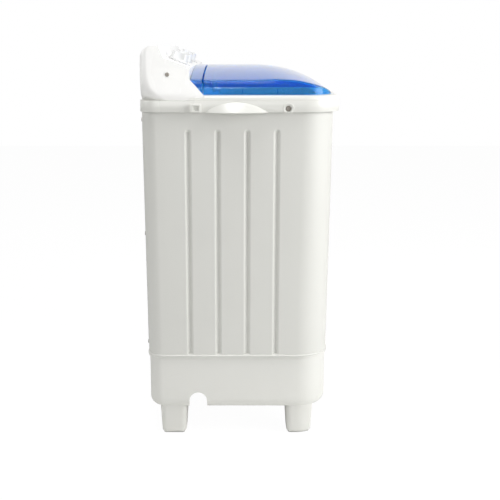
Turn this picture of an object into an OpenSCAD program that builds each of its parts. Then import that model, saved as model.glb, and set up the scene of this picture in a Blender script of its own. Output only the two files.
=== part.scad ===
// Twin tub washing machine: wash tub on the left, spin tub on the right.
// The front faces -Y, +Z is up, and the origin is on the floor under the middle.

/* [Overall] */
// Width across the rim, without the side grips
rim_w = 720; // [712:2:780]
// Depth of the rim, front to back
rim_d = 434; // [430:2:470]
// Height of the feet below the skirt
foot_h = 68; // [60:2:100]
// Height of the base skirt
skirt_h = 122; // [110:1:150]
// Height of the cabinet that shows between the base and the rim
cabinet_h = 550; // [545:5:620]
// Height of the upright band of the rim
band_h = 25; // [23:1:32]
// Height of the sloping shoulder above the band
shoulder_h = 11; // [9:1:14]
// Height of the lids above the deck
lid_h = 57; // [55:1:60]
// Height of the console above the deck
console_h = 102; // [98:1:112]

/* [Shells] */
// Wall of the plastic shells
wall = 3; // [2.5:0.1:4]
// How far the cabinet stands inside the rim at the sides
side_lip = 7; // [6:0.5:9]
// How far the cabinet stands inside the rim at the front
front_lip = 12.5; // [8:0.5:14]
// How far the cabinet stands inside the rim at the back
rear_lip = 2.5; // [2.4:0.1:4]
// Corner radius of the shells at the front
front_r = 72; // [50:1:85]
// Corner radius of the shells at the back
rear_r = 34; // [24:1:44]
// Draft of each side wall over the cabinet's height
side_draft = 4; // [0:0.5:6]
// Draft of the front wall over the cabinet's height
front_draft = 6.5; // [0:0.5:8]
// Draft of the back wall over the cabinet's height
rear_draft = 5; // [0:0.5:10]
// Number of grooves pressed into each side wall
groove_n = 4; // [2:1:5]
// Distance between the grooves
groove_pitch = 64; // [40:1:68]
// Width of a groove
groove_w = 14; // [8:1:20]
// Depth of a groove
groove_deep = 4; // [3:0.5:6]

/* [Base] */
// How far the skirt stands inside the cabinet's bottom edge
skirt_step = 3; // [1:0.5:6]
// Height of the floor of the base above the skirt's bottom edge
floor_rise = 48; // [47:1:58]
// Thickness of the floor of the base
floor_t = 4; // [3:0.5:6]
// Length of a foot along X at its top
foot_x = 72; // [50:1:80]
// Length of a foot along Y at its top
foot_y = 63; // [50:1:66]
// How much narrower a foot is at its bottom, each side
foot_taper = 4; // [0:0.5:8]
// Thickness of the pad that shows under a foot
pad_t = 2; // [1:0.5:5]
// Width of the hose notch in the left skirt
notch_w = 40; // [30:1:46]
// Height of the hose notch above the skirt's bottom edge
notch_h = 35; // [28:1:38]
// Distance of the hose notch from the back of the rim
notch_back = 120; // [119:1:150]

/* [Tubs] */
// Gap between the wash tub and the spin tub
tub_gap = 45; // [42:1:70]
// Distance of the wash tub from the front of the rim
wash_front = 37; // [36:1:55]
// Distance of the wash tub from the back of the rim
wash_back = 67; // [66:1:90]
// Inside depth of the wash tub
wash_deep = 407; // [380:1:412]
// Radius of the pulsator
pulsator_r = 105; // [80:1:120]
// Distance of the spin tub from the front of the rim
spin_front = 29; // [27:1:40]
// Inside depth of the spin tub
spin_deep = 391; // [370:1:396]
// Gap between the spin basket and the wall of its tub
basket_gap = 21; // [19:1:32]
// Height of the spin basket
basket_h = 330; // [280:2:335]
// Rows of holes in the spin basket
basket_rows = 6; // [3:1:8]
// Holes in each row of the spin basket
basket_cols = 16; // [8:2:20]
// How far the deck laps over the spin tub
mouth_lap = 29; // [27:1:36]

/* [Drives] */
// Radius of the wash pulley
wash_pulley_r = 88; // [70:1:92]
// Radius of the wash motor's pulley
motor_pulley_r = 24; // [18:1:30]
// Width of the drive belt
belt_w = 9; // [8:0.5:10]
// Radius of each motor
motor_r = 60; // [50:1:62]
// Height of each motor
motor_h = 96; // [80:1:100]
// Radius of the wash shaft and the spin shaft
shaft_r = 8; // [7:0.5:9]
// Radius of the brake drum
drum_r = 42; // [34:1:46]
// Running clearance of every shaft in its bearing
running = 0.05; // [0.03:0.01:0.08]

/* [Console] */
// Slope of the control face
face_tilt = 21; // [18:1:24]
// Radius of each control knob
knob_r = 23; // [17:1:24]
// Height of each control knob
knob_h = 20; // [14:1:21]
// Distance between the control knobs
knob_pitch = 190; // [120:5:200]
// Radius of the water inlet
inlet_r = 10; // [8:0.5:11]
// Radius of the drain pipe
drain_r = 12; // [10:0.5:13]

/* [Hidden] */
$fn = 48;

// Heights of the levels above the floor
z_skirt = foot_h;
z_floor = z_skirt + floor_rise;
z_floor_top = z_floor + floor_t;
z_body = z_skirt + skirt_h;
z_rim = z_body + cabinet_h;
z_band = z_rim + band_h;
z_deck = z_band + shoulder_h;
z_top = z_deck + console_h;
z_under = z_band - wall;

// Places front to back
y_front = -rim_d / 2;
y_back = rim_d / 2;
console_d = 108;
strip_d = 30;
y_face = y_back - console_d;
y_seam = y_face - strip_d;
lid_gap = 3.5;
notch_y = y_back - notch_back;
y_strip = y_seam + lid_gap;

// Colours
white = [0.93, 0.93, 0.91];
pale_grey = [0.84, 0.84, 0.82];
clear_blue = [0.05, 0.3, 0.85, 0.6];
steel = [0.7, 0.7, 0.72];
dark = [0.15, 0.15, 0.16];

// Outline tools
arc_n = 8;
function arc(cx, cy, r, a) = [for (i = [0:arc_n]) [cx + r * cos(a + 90 * i / arc_n), cy + r * sin(a + 90 * i / arc_n)]];
function outline(x0, x1, y0, y1, rf, rb) = concat(
  arc(x0 + rf, y0 + rf, rf, 180), arc(x1 - rf, y0 + rf, rf, 270),
  arc(x1 - rb, y1 - rb, rb, 0), arc(x0 + rb, y1 - rb, rb, 90));

// A closed solid through rows of points that all have the same number of points
module skin(rows) {
  n = len(rows[0]);
  m = len(rows);
  points = [for (r = rows) each r];
  sides = [for (k = [0:m - 2]) for (i = [0:n - 1]) let (j = (i + 1) % n)
    each [[k * n + i, (k + 1) * n + i, (k + 1) * n + j], [k * n + i, (k + 1) * n + j, k * n + j]]];
  foot = [[for (i = [0:n - 1]) i]];
  head = [[for (i = [n - 1:-1:0]) (m - 1) * n + i]];
  polyhedron(points = points, faces = concat(foot, sides, head));
}
// The same through level outlines, each given as [height, points]
module loft(levels) {
  skin([for (l = levels) [for (p = l[1]) [p[0], p[1], l[0]]]]);
}
module slab(points, z0, z1) {
  translate([0, 0, z0]) linear_extrude(z1 - z0) polygon(points);
}
function round_plan(r, n) = [for (i = [0:n - 1]) [r * cos(360 * (i + 0.5) / n), r * sin(360 * (i + 0.5) / n)]];
module ring(ro, ri, z0, z1) {
  translate([0, 0, z0]) difference() {
    cylinder(r = ro, h = z1 - z0);
    translate([0, 0, -1]) cylinder(r = ri, h = z1 - z0 + 2);
  }
}
module along_x(x0, x1, r) {
  translate([x0, 0, 0]) rotate([0, 90, 0]) cylinder(r = r, h = x1 - x0);
}
module block(lo, hi) {
  translate(lo) cube(hi - lo);
}
module rod(a, b, r) {
  v = b - a;
  translate(a) rotate([0, acos(v[2] / norm(v)), atan2(v[1], v[0])]) cylinder(r = r, h = norm(v));
}
module pipe_run(points, r) {
  for (i = [1:len(points) - 1]) rod(points[i - 1], points[i], r);
  for (i = [1:len(points) - 2]) translate(points[i]) sphere(r = r);
}
module both_sides() {
  children();
  mirror([1, 0, 0]) children();
}

// Outlines of the shells; each takes how far it is drawn in
function rim_plan(d) = outline(-rim_w / 2 + d, rim_w / 2 - d, y_front + d, y_back - d, front_r + 8 - d, rear_r + 2 - d);
cab_z0 = z_body;
cab_z1 = z_under;
function cab_share(z) = (cab_z1 - z) / (cab_z1 - cab_z0);
function cab_x(z) = rim_w / 2 - side_lip - side_draft * cab_share(z);
function cab_yf(z) = y_front + front_lip + front_draft * cab_share(z);
function cab_yb(z) = y_back - rear_lip - rear_draft * cab_share(z);
function cab_plan(z, d) = outline(-cab_x(z) + d, cab_x(z) - d, cab_yf(z) + d, cab_yb(z) - d, front_r - d, rear_r - d);
skirt_x = cab_x(z_body) - skirt_step;
skirt_yf = cab_yf(z_body) + skirt_step - 1;
skirt_yb = cab_yb(z_body) - skirt_step + 1;
function skirt_plan(d) = outline(-skirt_x + d, skirt_x - d, skirt_yf + d, skirt_yb - d, front_r - 4 - d, rear_r - 3 - d);

// Base, with its skirt, floor and four feet
skirt_round = 20;
rear_round = 1.8;
function skirt_low(d, more) = outline(-skirt_x + d + more, skirt_x - d - more, skirt_yf + d + more, skirt_yb - rear_round * d - more,
  front_r - 4 - d - more, rear_r - 3 - d - more);
foot_inset = 6;
foot_outer_x = skirt_x - foot_inset;
front_foot_y = skirt_yf + 30;
rear_foot_y = skirt_yb - 22.5 - foot_y;
foot_r = 14;
function foot_plan(y0, d) = outline(foot_outer_x - foot_x + d, foot_outer_x - d, y0 + d, y0 + foot_y - d, foot_r - d, foot_r - d);
notch_r = notch_w / 2;
notch_z = z_skirt + notch_h - notch_r;
lip_out = 2;
lip_h = 4;
foot_back = 3;
module foot(y0) {
  difference() {
    intersection() {
      loft([[pad_t, foot_plan(y0, foot_taper)], [z_skirt, foot_plan(y0, 0)], [z_floor + 1, foot_plan(y0, 0)]]);
      loft([[pad_t, skirt_plan(foot_inset + foot_taper)], [z_skirt, skirt_plan(foot_inset)],
        [z_floor + 1, skirt_plan(foot_back)]]);
    }
    pad(y0, 0, pad_t - 1);
  }
}
module pad(y0, gap, z0) {
  intersection() {
    slab(foot_plan(y0, foot_taper + wall + gap), z0, 2 * pad_t);
    slab(skirt_plan(foot_inset + foot_taper + wall + gap), z0, 2 * pad_t);
  }
}
module base() {
  color(white) {
    difference() {
      union() {
        difference() {
          loft([[z_skirt, skirt_low(skirt_round / 2, 0)], [z_skirt + skirt_round / 3, skirt_low(skirt_round / 6, 0)],
            [z_skirt + skirt_round, skirt_plan(0)], [z_body, skirt_plan(0)]]);
          loft([[z_skirt - 1, skirt_low(skirt_round / 2, wall)], [z_skirt + skirt_round / 3, skirt_low(skirt_round / 6, wall)],
            [z_skirt + skirt_round, skirt_plan(wall)], [z_body + 1, skirt_plan(wall)]]);
        }
        slab(skirt_plan(wall - 0.5), z_floor, z_floor_top);
        difference() {
          slab(cab_plan(z_body, 0), z_body - lip_h, z_body);
          slab(skirt_plan(wall), z_body - lip_h - 1, z_body + 1);
        }
        both_sides() {
          foot(front_foot_y);
          foot(rear_foot_y);
        }
      }
      translate([0, notch_y, notch_z]) along_x(-skirt_x - 5, -skirt_x + 15, notch_r);
      block([-skirt_x - 5, notch_y - notch_r, z_skirt - 5], [-skirt_x + 15, notch_y + notch_r, notch_z]);
      for (x = [wash_motor_x, spin_x]) translate([x, spin_y, z_floor - 1]) cylinder(r = 24, h = floor_t + 2);
      translate([outlet_x, notch_y, z_floor - 1]) cylinder(r = drain_r + 3, h = floor_t + 2);
    }
  }
}
module foot_pads() {
  color(pale_grey) both_sides() {
    pad(front_foot_y, 0.2, 0);
    pad(rear_foot_y, 0.2, 0);
  }
}

// Cabinet, with a lip along its bottom edge and grooves pressed into both side walls
groove_mid_y = 17.5;
groove_top = z_rim - 43;
groove_low = z_body + lip_h + 2;
function groove_y(i) = groove_mid_y + (i - (groove_n - 1) / 2) * groove_pitch;
vent_x = rim_w / 2 - 60;
vent_z0 = z_body + 30;
vent_z1 = z_rim - 25;
module groove(x_in, x_out, grow) {
  for (i = [0:groove_n - 1]) translate([0, groove_y(i), 0]) {
    block([x_in, -groove_w / 2 - grow, groove_low - grow], [x_out, groove_w / 2 + grow, groove_top]);
    translate([0, 0, groove_top]) along_x(x_in, x_out, groove_w / 2 + grow);
  }
}
module cabinet() {
  color(white) difference() {
    union() {
      loft([[cab_z0, cab_plan(cab_z0, 0)], [cab_z1, cab_plan(cab_z1, 0)]]);
      slab(cab_plan(z_body, -lip_out), z_body, z_body + lip_h);
    }
    difference() {
      loft([[cab_z0 - 1, cab_plan(cab_z0 - 1, wall)], [cab_z1 + 1, cab_plan(cab_z1 + 1, wall)]]);
      both_sides() groove(cab_x(z_body) - groove_deep - wall, cab_x(z_body) + 10, wall);
    }
    both_sides() groove(cab_x(z_body) - groove_deep, cab_x(z_body) + 10, 0);
    block([-vent_x, cab_yb(z_body) - 15, vent_z0], [vent_x, y_back + 5, vent_z1]);
    both_sides() translate([0, side_screw_y, side_screw_z]) along_x(cab_x(z_rim) - 10, cab_x(z_rim) + 10, screw_r + 0.3);
  }
}

// Back panel of sheet metal, with louvres, and its screws
panel_t = 1.2;
panel_over = 12;
screw_r = 2.2;
head_r = 5;
gland_x = -rim_w / 2 + 160;
gland_z = z_body + 50;
gland_bore = 4;
louvre_n = 7;
module panel_screws_at() {
  for (x = [-1, 1]) for (z = [vent_z0 - panel_over / 2, (vent_z0 + vent_z1) / 2, vent_z1 + panel_over / 2])
    translate([x * (vent_x + panel_over / 2), cab_yb(z + head_r) + panel_t, z]) rotate([-90, 0, 0]) children();
}
module back_panel() {
  z0 = vent_z0 - panel_over;
  z1 = vent_z1 + panel_over;
  w = vent_x + panel_over;
  color(pale_grey) difference() {
    loft([for (z = [z0, z1]) [z, [[-w, cab_yb(z)], [w, cab_yb(z)], [w, cab_yb(z) + panel_t], [-w, cab_yb(z) + panel_t]]]]);
    for (x = [-170, 170]) for (i = [0:louvre_n - 1])
      block([x - 60, y_back - 30, vent_z0 + 40 + i * 20], [x + 60, y_back + 5, vent_z0 + 46 + i * 20]);
    translate([gland_x, y_back - 30, gland_z]) rotate([-90, 0, 0]) cylinder(r = 9, h = 40);
  }
}
module back_panel_screws() {
  color(steel) panel_screws_at() cylinder(r = head_r, h = 1.4);
}
module cord_gland() {
  y = cab_yb(gland_z);
  color(dark) translate([gland_x, y, gland_z]) rotate([-90, 0, 0]) {
    ring(8.9, gland_bore, -6, 4);
    ring(13, gland_bore, panel_t + 0.3, 4);
    ring(13, gland_bore, -4, -0.4);
  }
}

// Top cover: band, shoulder and deck, with both mouths and the posts that the lids hang on
wash_x0 = -rim_w / 2 + side_lip + wall + 22;
wash_y0 = y_front + wash_front;
wash_y1 = y_back - wash_back;
spin_tub_r = (y_seam - 1 - y_front - spin_front) / 2;
spin_x = rim_w / 2 - side_lip - wall - 27 - spin_tub_r;
spin_y = y_front + spin_front + spin_tub_r;
spin_mouth_r = spin_tub_r - mouth_lap;
wash_x1 = spin_x - spin_tub_r - tub_gap;
wash_x = (wash_x0 + wash_x1) / 2;
wash_y = (wash_y0 + wash_y1) / 2;
split_x = wash_x1 + 18;
deck_t = 3;
mouth_in = 10;
function mouth_plan(d) = outline(wash_x0 + mouth_in - d, wash_x1 - mouth_in + d, wash_y0 + mouth_in - d, y_seam - 31 + d, 40 + d, 40 + d);
pin_r = 2;
ear_r = 4;
ear_t = 5;
boss_l = 16;
ear_off = boss_l / 2 + 0.4 + ear_t / 2;
axis_y = y_seam - 17;
axis_z = z_deck + lid_h - 18;
post_x = [wash_x0 + 128, split_x - 45, split_x + 32, spin_x + 10];
side_screw_y = y_front + 115;
side_screw_z = z_rim + 8;
screw_ring_r = 12;
grip_l = 134;
grip_h = 21;
grip_out = 18;
grip_y = 9;
spout_x = -rim_w / 2 + 110;
spout_y = y_face + 27;
fairing_x = rim_w / 2 - shoulder_h - 0.6;
fairing_h = 33;
lean = 10;
lean_from = 12;
function cheek_plan(d) = let (x = rim_w / 2 - 2 - d, x_top = x - tan(lean) * (z_top - z_band - lean_from))
  [[-x, z_band - 1], [x, z_band - 1], [x, z_band + lean_from], [x_top, z_top + 1], [-x_top, z_top + 1], [-x, z_band + lean_from]];
module cheeks(d) {
  rotate([90, 0, 0]) translate([0, 0, -y_back - 5]) linear_extrude(rim_d) polygon(cheek_plan(d));
}
module fairing() {
  intersection() {
    rotate([90, 0, 90]) translate([0, 0, fairing_x]) linear_extrude(rim_w / 2 - fairing_x)
      polygon([[y_seam, z_band + 1], [y_face, z_band + 1], [y_face, z_deck + fairing_h], [y_seam, z_deck]]);
    cheeks(0);
  }
}
module lid_post(x) {
  for (side = [-1, 1]) difference() {
    union() {
      translate([x + side * ear_off, axis_y, 0]) block([-ear_t / 2, -ear_r, z_deck - 1], [ear_t / 2, 1.5, axis_z]);
      translate([x + side * ear_off, axis_y, axis_z]) along_x(-ear_t / 2, ear_t / 2, ear_r);
    }
    translate([0, axis_y, axis_z]) along_x(x - 30, x + 30, pin_r + 0.02);
  }
}
module top_cover() {
  color(white) {
    difference() {
      union() {
        difference() {
          loft([[z_rim, rim_plan(0)], [z_band, rim_plan(0)], [z_deck, rim_plan(shoulder_h)]]);
          block([-rim_w, y_face, z_band], [rim_w, y_back + 5, z_deck + 5]);
          slab(rim_plan(wall), z_rim - 1, z_under);
          loft([for (z = [z_rim - 1, z_under]) [z, cab_plan(z, -0.1)]]);
          intersection() {
            slab(rim_plan(wall + shoulder_h), z_under - 1, z_deck - deck_t);
            block([-rim_w, y_front, z_under - 2], [rim_w, y_face - wall, z_deck]);
          }
        }
        slab(mouth_plan(wall), z_under, z_deck - 1);
        translate([spin_x, spin_y, z_under]) cylinder(r = spin_mouth_r + wall, h = z_deck - 1 - z_under);
        translate([spin_x, spin_y, 0]) ring(spin_tub_r + wall, spin_tub_r, z_under, z_deck - 1);
        intersection() {
          difference() {
            slab(tub_plan(-wall), z_under, z_deck - 1);
            slab(tub_plan(0), z_under - 1, z_deck);
          }
          block([-rim_w, y_front, z_under - 2], [rim_w, y_face, z_deck]);
        }
      }
      slab(mouth_plan(0), z_under - 1, z_deck + 1);
      translate([spin_x, spin_y, z_under - 1]) cylinder(r = spin_mouth_r, h = z_deck - z_under + 2);
      translate([spout_x, spout_y, z_under - 1]) cylinder(r = 14, h = wall + 2);
      both_sides() {
        block([rim_w / 2 - wall - 1, grip_y - grip_l / 2 + 24, z_rim - 1], [rim_w / 2 + 1, grip_y + grip_l / 2 - 24, z_rim + grip_h - 10]);
        translate([0, side_screw_y, side_screw_z]) along_x(rim_w / 2 - 20, rim_w / 2 + 5, 7);
      }
    }
    both_sides() translate([0, side_screw_y, side_screw_z]) difference() {
      along_x(rim_w / 2 - side_lip + 0.2, rim_w / 2 + 0.6, screw_ring_r);
      along_x(rim_w / 2 - 4, rim_w / 2 + 5, 7);
      along_x(rim_w / 2 - 20, rim_w / 2 + 5, screw_r + 0.3);
      translate([0, -15, -30]) cube([rim_w, 30, 30 - side_screw_z + z_rim]);
    }
    for (x = post_x) lid_post(x);
    both_sides() fairing();
  }
}

// Side grips: hoods that bulge from the rim, open below for the fingers
module side_grips() {
  wall_r = (pow(grip_l / 2, 2) + grip_h * grip_h) / (2 * grip_h);
  plan_r = (pow(grip_l / 2, 2) + grip_out * grip_out) / (2 * grip_out);
  ball_r = sqrt(wall_r * wall_r + pow(plan_r - grip_out, 2));
  color(white) both_sides() intersection() {
    translate([rim_w / 2 + grip_out - plan_r, grip_y, z_rim + grip_h - wall_r]) difference() {
      sphere(r = ball_r, $fn = 200);
      sphere(r = ball_r - wall, $fn = 200);
    }
    block([rim_w / 2, grip_y - grip_l, z_rim], [rim_w / 2 + grip_out + 5, grip_y + grip_l, z_rim + grip_h + 5]);
  }
}
// Socket on the left rim for the hook that holds the drain hose up
module hose_hook_socket() {
  y0 = grip_y + grip_l / 2 + 8;
  color(white) difference() {
    block([-rim_w / 2 - 7, y0, z_rim], [-rim_w / 2, y0 + 24, z_rim + 18]);
    block([-rim_w / 2 - 8, y0 + 5, z_rim + 4], [-rim_w / 2 - 2, y0 + 17, z_rim + 14]);
  }
}

// Console: one shell with two leaning cheeks and a sloping control face
ridge_r = 20;
ridge_run = 18;
face_z = z_deck + 56;
console_r = rear_r + 16;
console_yb = y_back - 1.5;
face_l = 60;
face_y1 = y_face + face_l * cos(face_tilt);
function console_under(y, d) = [y, face_z + (y - y_face) * tan(face_tilt) - d / cos(face_tilt)];
function console_side(d) = concat(
  [[y_face + d, z_band], [console_yb - d, z_band]],
  [for (p = arc(console_yb - ridge_r, z_top - ridge_r, ridge_r - d, 0)) p],
  [[console_yb - ridge_r - ridge_run, z_top - d], console_under(face_y1 + d / 2, d), console_under(y_face + d, d)]);
module console_form(d) {
  intersection() {
    rotate([90, 0, 90]) translate([0, 0, -rim_w / 2]) linear_extrude(rim_w) polygon(console_side(d));
    slab(outline(-rim_w / 2 + 2 + d, rim_w / 2 - 2 - d, y_face - 60, console_yb - d, 5, console_r - d), z_band - 1, z_top + 1);
    cheeks(d);
  }
}
module on_face(x, s) {
  translate([x, y_face + s * cos(face_tilt), face_z + s * sin(face_tilt)]) rotate([face_tilt, 0, 0]) children();
}
knob_s = 35;
slider_travel = 24;
knob_x = [-knob_pitch - 15, -15, knob_pitch - 15];
slider_x = (knob_x[1] + knob_x[2]) / 2 - slider_travel / 2;
back_x = rim_w / 2 - 75;
back_z0 = z_band + 14;
back_z1 = z_top - ridge_r - 10;
inlet_z = z_deck + 56;
cheek_screw_y = y_face + 47;
cheek_screw_z = z_deck + 43;
module console() {
  color(white) {
    difference() {
      console_form(0);
      difference() {
        console_form(wall);
        block([-rim_w, y_face, z_band - 1], [rim_w, y_face + wall, z_top]);
      }
      block([-rim_w / 2 + 60, y_face + 9, z_band - 2], [rim_w / 2 - 60, console_yb - 30, z_band + wall + 1]);
      block([-back_x, console_yb - 10, back_z0], [back_x, console_yb + 5, back_z1]);
      for (x = knob_x) on_face(x, knob_s) translate([0, 0, -10]) cylinder(r = 5.2, h = 20);
      on_face(slider_x, knob_s) block([-3, -2.5, -10], [slider_travel + 3, 2.5, 5]);
      both_sides() translate([0, cheek_screw_y, cheek_screw_z]) along_x(rim_w / 2 - 25, rim_w / 2 + 5, screw_r + 0.2);
    }
  }
}
module console_back() {
  color(white) difference() {
    union() {
      block([-back_x + 0.3, console_yb - wall, back_z0 + 0.3], [back_x - 0.3, console_yb, back_z1 - 0.3]);
      block([-back_x - 8, console_yb - 2 * wall, back_z0 - 8], [back_x + 8, console_yb - wall - 0.1, back_z1 + 6]);
    }
    block([spout_x - 20, console_yb - 12, inlet_z - 20], [spout_x + 20, console_yb + 2, inlet_z + 20]);
  }
}
// Screws that hold the top cover to the cabinet, and the console's cheeks
module shell_screws() {
  x = rim_w / 2 - 2 - tan(lean) * (cheek_screw_z - z_band - lean_from - head_r);
  color(steel) both_sides() {
    translate([0, side_screw_y, side_screw_z]) {
      along_x(rim_w / 2 - side_lip - 12, rim_w / 2 - 3.5, screw_r);
      along_x(rim_w / 2 - 4, rim_w / 2 - 1.5, 5.5);
    }
    translate([0, cheek_screw_y, cheek_screw_z]) {
      along_x(x - 16, x, screw_r);
      along_x(x, x + 1.6, 4.6);
    }
  }
}

// Hinge strip and lids: skins of clear plastic that share one crowned form
lid_x = rim_w / 2 - shoulder_h - 1;
lid_yf = y_front + shoulder_h + 7;
lid_l = y_seam - lid_yf;
lid_foot = 0.5;
lid_wall = 3;
split_gap = 2;
edge_share = 0.54;
nose_share = 0.66;
nose_run = 165;
nose_blend = 90;
nose_min = 2;
lid_corner = front_r - 6;
across_n = 10;
function share(s) = edge_share + (nose_share - edge_share) * max(0, min(1, (nose_run - s) / nose_blend));
function crown(x, s) = 1 - (1 - share(s)) * pow(x / lid_x, 2);
function nose(s) = s >= nose_run ? lid_h : nose_min + (lid_h - nose_min) * pow(1 - pow(1 - s / nose_run, 2), 0.7);
function skin_z(x, s) = z_deck + nose(s) * crown(x, s);
function side_x(s, d) = -lid_x + (s >= lid_corner ? d : lid_corner - sqrt(max(0, pow(lid_corner - d, 2) - pow(lid_corner - s, 2))));
function spread(x0, x1) = [for (i = [0:across_n]) x0 + (x1 - x0) * pow(i / across_n, 1.2)];
function both_spread(x0) = let (half = spread(x0, 0)) concat(half, [for (i = [across_n - 1:-1:0]) -half[i]]);
function skin_row(s, xs, d, zb) = concat([[xs[0], lid_yf + s, zb]],
  [for (x = xs) [x, lid_yf + s, skin_z(x, s) - d]], [[xs[len(xs) - 1], lid_yf + s, zb]]);
function lid_steps(d, end) = concat([for (t = [0, 2, 5, 10, 17, 26, 38, 52]) d + t], [lid_corner, 85, 105, 128, 147, nose_run, end]);
module lid_form(x1, d, end, zb) {
  skin([for (s = lid_steps(d, end)) skin_row(s, spread(side_x(s, d), x1 - d), d, zb)]);
}
module strip_form(d, s0, s1, zb) {
  skin([for (s = [s0, s1]) skin_row(s, both_spread(-lid_x + d), d, zb)]);
}
module lid_boss(x) {
  translate([0, axis_y, axis_z]) along_x(x - boss_l / 2, x + boss_l / 2, 5);
  block([x - boss_l / 2, axis_y - 3, axis_z], [x + boss_l / 2, axis_y + 3, skin_z(x, lid_l) - 1]);
}
module lid(x1, posts) {
  relief = 5;
  color(clear_blue) difference() {
    union() {
      difference() {
        lid_form(x1, 0, lid_l, z_deck + lid_foot);
        lid_form(x1, lid_wall, lid_l + 5, z_deck - 5);
      }
      for (x = posts) lid_boss(x);
    }
    translate([0, axis_y, axis_z]) for (x = posts) along_x(x - boss_l, x + boss_l, pin_r + running);
    block([-rim_w, axis_y, z_deck - 5], [rim_w, y_seam + 5, z_deck + relief]);
  }
}
module wash_lid() {
  lid(split_x - split_gap / 2, [post_x[0], post_x[1]]);
}
module spin_lid() {
  mirror([1, 0, 0]) lid(-split_x - split_gap / 2, [-post_x[2], -post_x[3]]);
}
module hinge_strip() {
  s0 = y_strip - lid_yf;
  s1 = y_face - 0.5 - lid_yf;
  color(clear_blue) difference() {
    strip_form(0, s0, s1, z_deck);
    strip_form(lid_wall, s0 - 5, s1 - lid_wall, z_deck - 5);
  }
}
module hinge_pins() {
  reach = ear_off + ear_t / 2;
  color(steel) translate([0, axis_y, axis_z]) for (x = post_x) along_x(x - reach, x + reach, pin_r);
}
// Safety cover that drops into the mouth of the spin tub
module spin_safety_cover() {
  color(pale_grey) translate([spin_x, spin_y, z_deck]) difference() {
    union() {
      cylinder(r = spin_mouth_r + 6, h = 2);
      translate([0, 0, -7]) cylinder(r = spin_mouth_r - 1.5, h = 8);
      block([-40, -5, 1], [40, 5, 14]);
    }
    translate([0, 0, -8]) cylinder(r = spin_mouth_r - 1.5 - wall, h = 8);
    block([-28, -6, 3], [28, 6, 9]);
  }
}

// Controls: two timers and a selector under the face, each with a spindle and a knob
spindle_r = 3;
module control_box(x, w, l, h) {
  on_face(x, knob_s) difference() {
    block([-w / 2, -l / 2, -wall - h], [w / 2, l / 2, -wall]);
    translate([0, 0, -h - wall - 1]) cylinder(r = spindle_r + running, h = h + 5);
  }
}
module wash_timer() {
  color(pale_grey) control_box(knob_x[0], 54, 46, 34);
}
module function_selector() {
  color(pale_grey) control_box(knob_x[1], 34, 34, 22);
}
module spin_timer() {
  color(pale_grey) control_box(knob_x[2], 46, 42, 30);
}
module spindle(x, l) {
  color(steel) on_face(x, knob_s) translate([0, 0, -wall - l]) cylinder(r = spindle_r, h = l + wall + knob_h - 6);
}
module wash_timer_spindle() {
  spindle(knob_x[0], 30);
}
module function_selector_spindle() {
  spindle(knob_x[1], 30);
}
module spin_timer_spindle() {
  spindle(knob_x[2], 26);
}
module knob(x) {
  color(pale_grey) on_face(x, knob_s) translate([0, 0, 0.5]) difference() {
    union() {
      cylinder(r = knob_r, h = 3);
      cylinder(r1 = knob_r - 2, r2 = knob_r - 4, h = knob_h);
      block([-1, knob_r - 9, knob_h - 1], [1, knob_r - 4.5, knob_h + 0.6]);
    }
    for (side = [-1, 1]) translate([side * (knob_r + 6), 0, 5]) cylinder(r = knob_r - 5, h = knob_h);
    translate([0, 0, -1]) cylinder(r = spindle_r, h = knob_h - 5.5);
  }
}
module wash_timer_knob() {
  knob(knob_x[0]);
}
module function_selector_knob() {
  knob(knob_x[1]);
}
module spin_timer_knob() {
  knob(knob_x[2]);
}

// Water way: inlet at the back, a duct along the console, and a slider that turns the water to either tub
duct_y0 = y_face + 13;
duct_y1 = spout_y + 15;
duct_h = 26;
duct_w = 17;
duct_x1 = spin_x - 60;
module water_inlet() {
  y0 = console_yb - 26;
  color(pale_grey) translate([spout_x, 0, inlet_z]) rotate([-90, 0, 0]) {
    difference() {
      union() {
        ring(inlet_r, inlet_r - 3, y0, console_yb - 2);
        translate([0, 0, y0 - 4]) cylinder(r = 18, h = 5);
      }
      translate([0, 0, y0 - 6]) cylinder(r = inlet_r - 3, h = 10);
    }
    difference() {
      translate([0, 0, y0 - 4]) cylinder(r = 24, h = console_yb - 2 * wall - y0 + 4);
      translate([0, 0, y0 - 5]) cylinder(r = 18, h = 40);
    }
  }
}
module inlet_duct() {
  drop_z = z_under - 14;
  color(pale_grey) difference() {
    union() {
      block([spout_x - duct_w, duct_y0, z_band], [duct_x1, duct_y1, z_band + duct_h]);
      block([spout_x - duct_w, duct_y0, z_band], [spout_x + duct_w, duct_y1 + 10, inlet_z - 25]);
      translate([spout_x, spout_y, drop_z]) cylinder(r = 13.5, h = z_band + 4 - drop_z);
    }
    block([spout_x - duct_w + 2, duct_y0 + 2, z_band + 2], [duct_x1 - 2, duct_y1 - 2, z_band + duct_h - 2]);
    block([spout_x - duct_w + 2, duct_y0 + 2, z_band + 2], [spout_x + duct_w - 2, duct_y1 + 8, inlet_z - 24]);
    translate([spout_x, spout_y, drop_z - 1]) cylinder(r = 11.5, h = 30);
  }
}
module inlet_slider() {
  color(pale_grey) on_face(slider_x, knob_s) {
    block([-9, -7, 0.3], [9, 7, 3]);
    block([-2, -6, 2], [2, 6, 7]);
    block([-2, -2, -12], [2, 2, 1]);
  }
}

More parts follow.
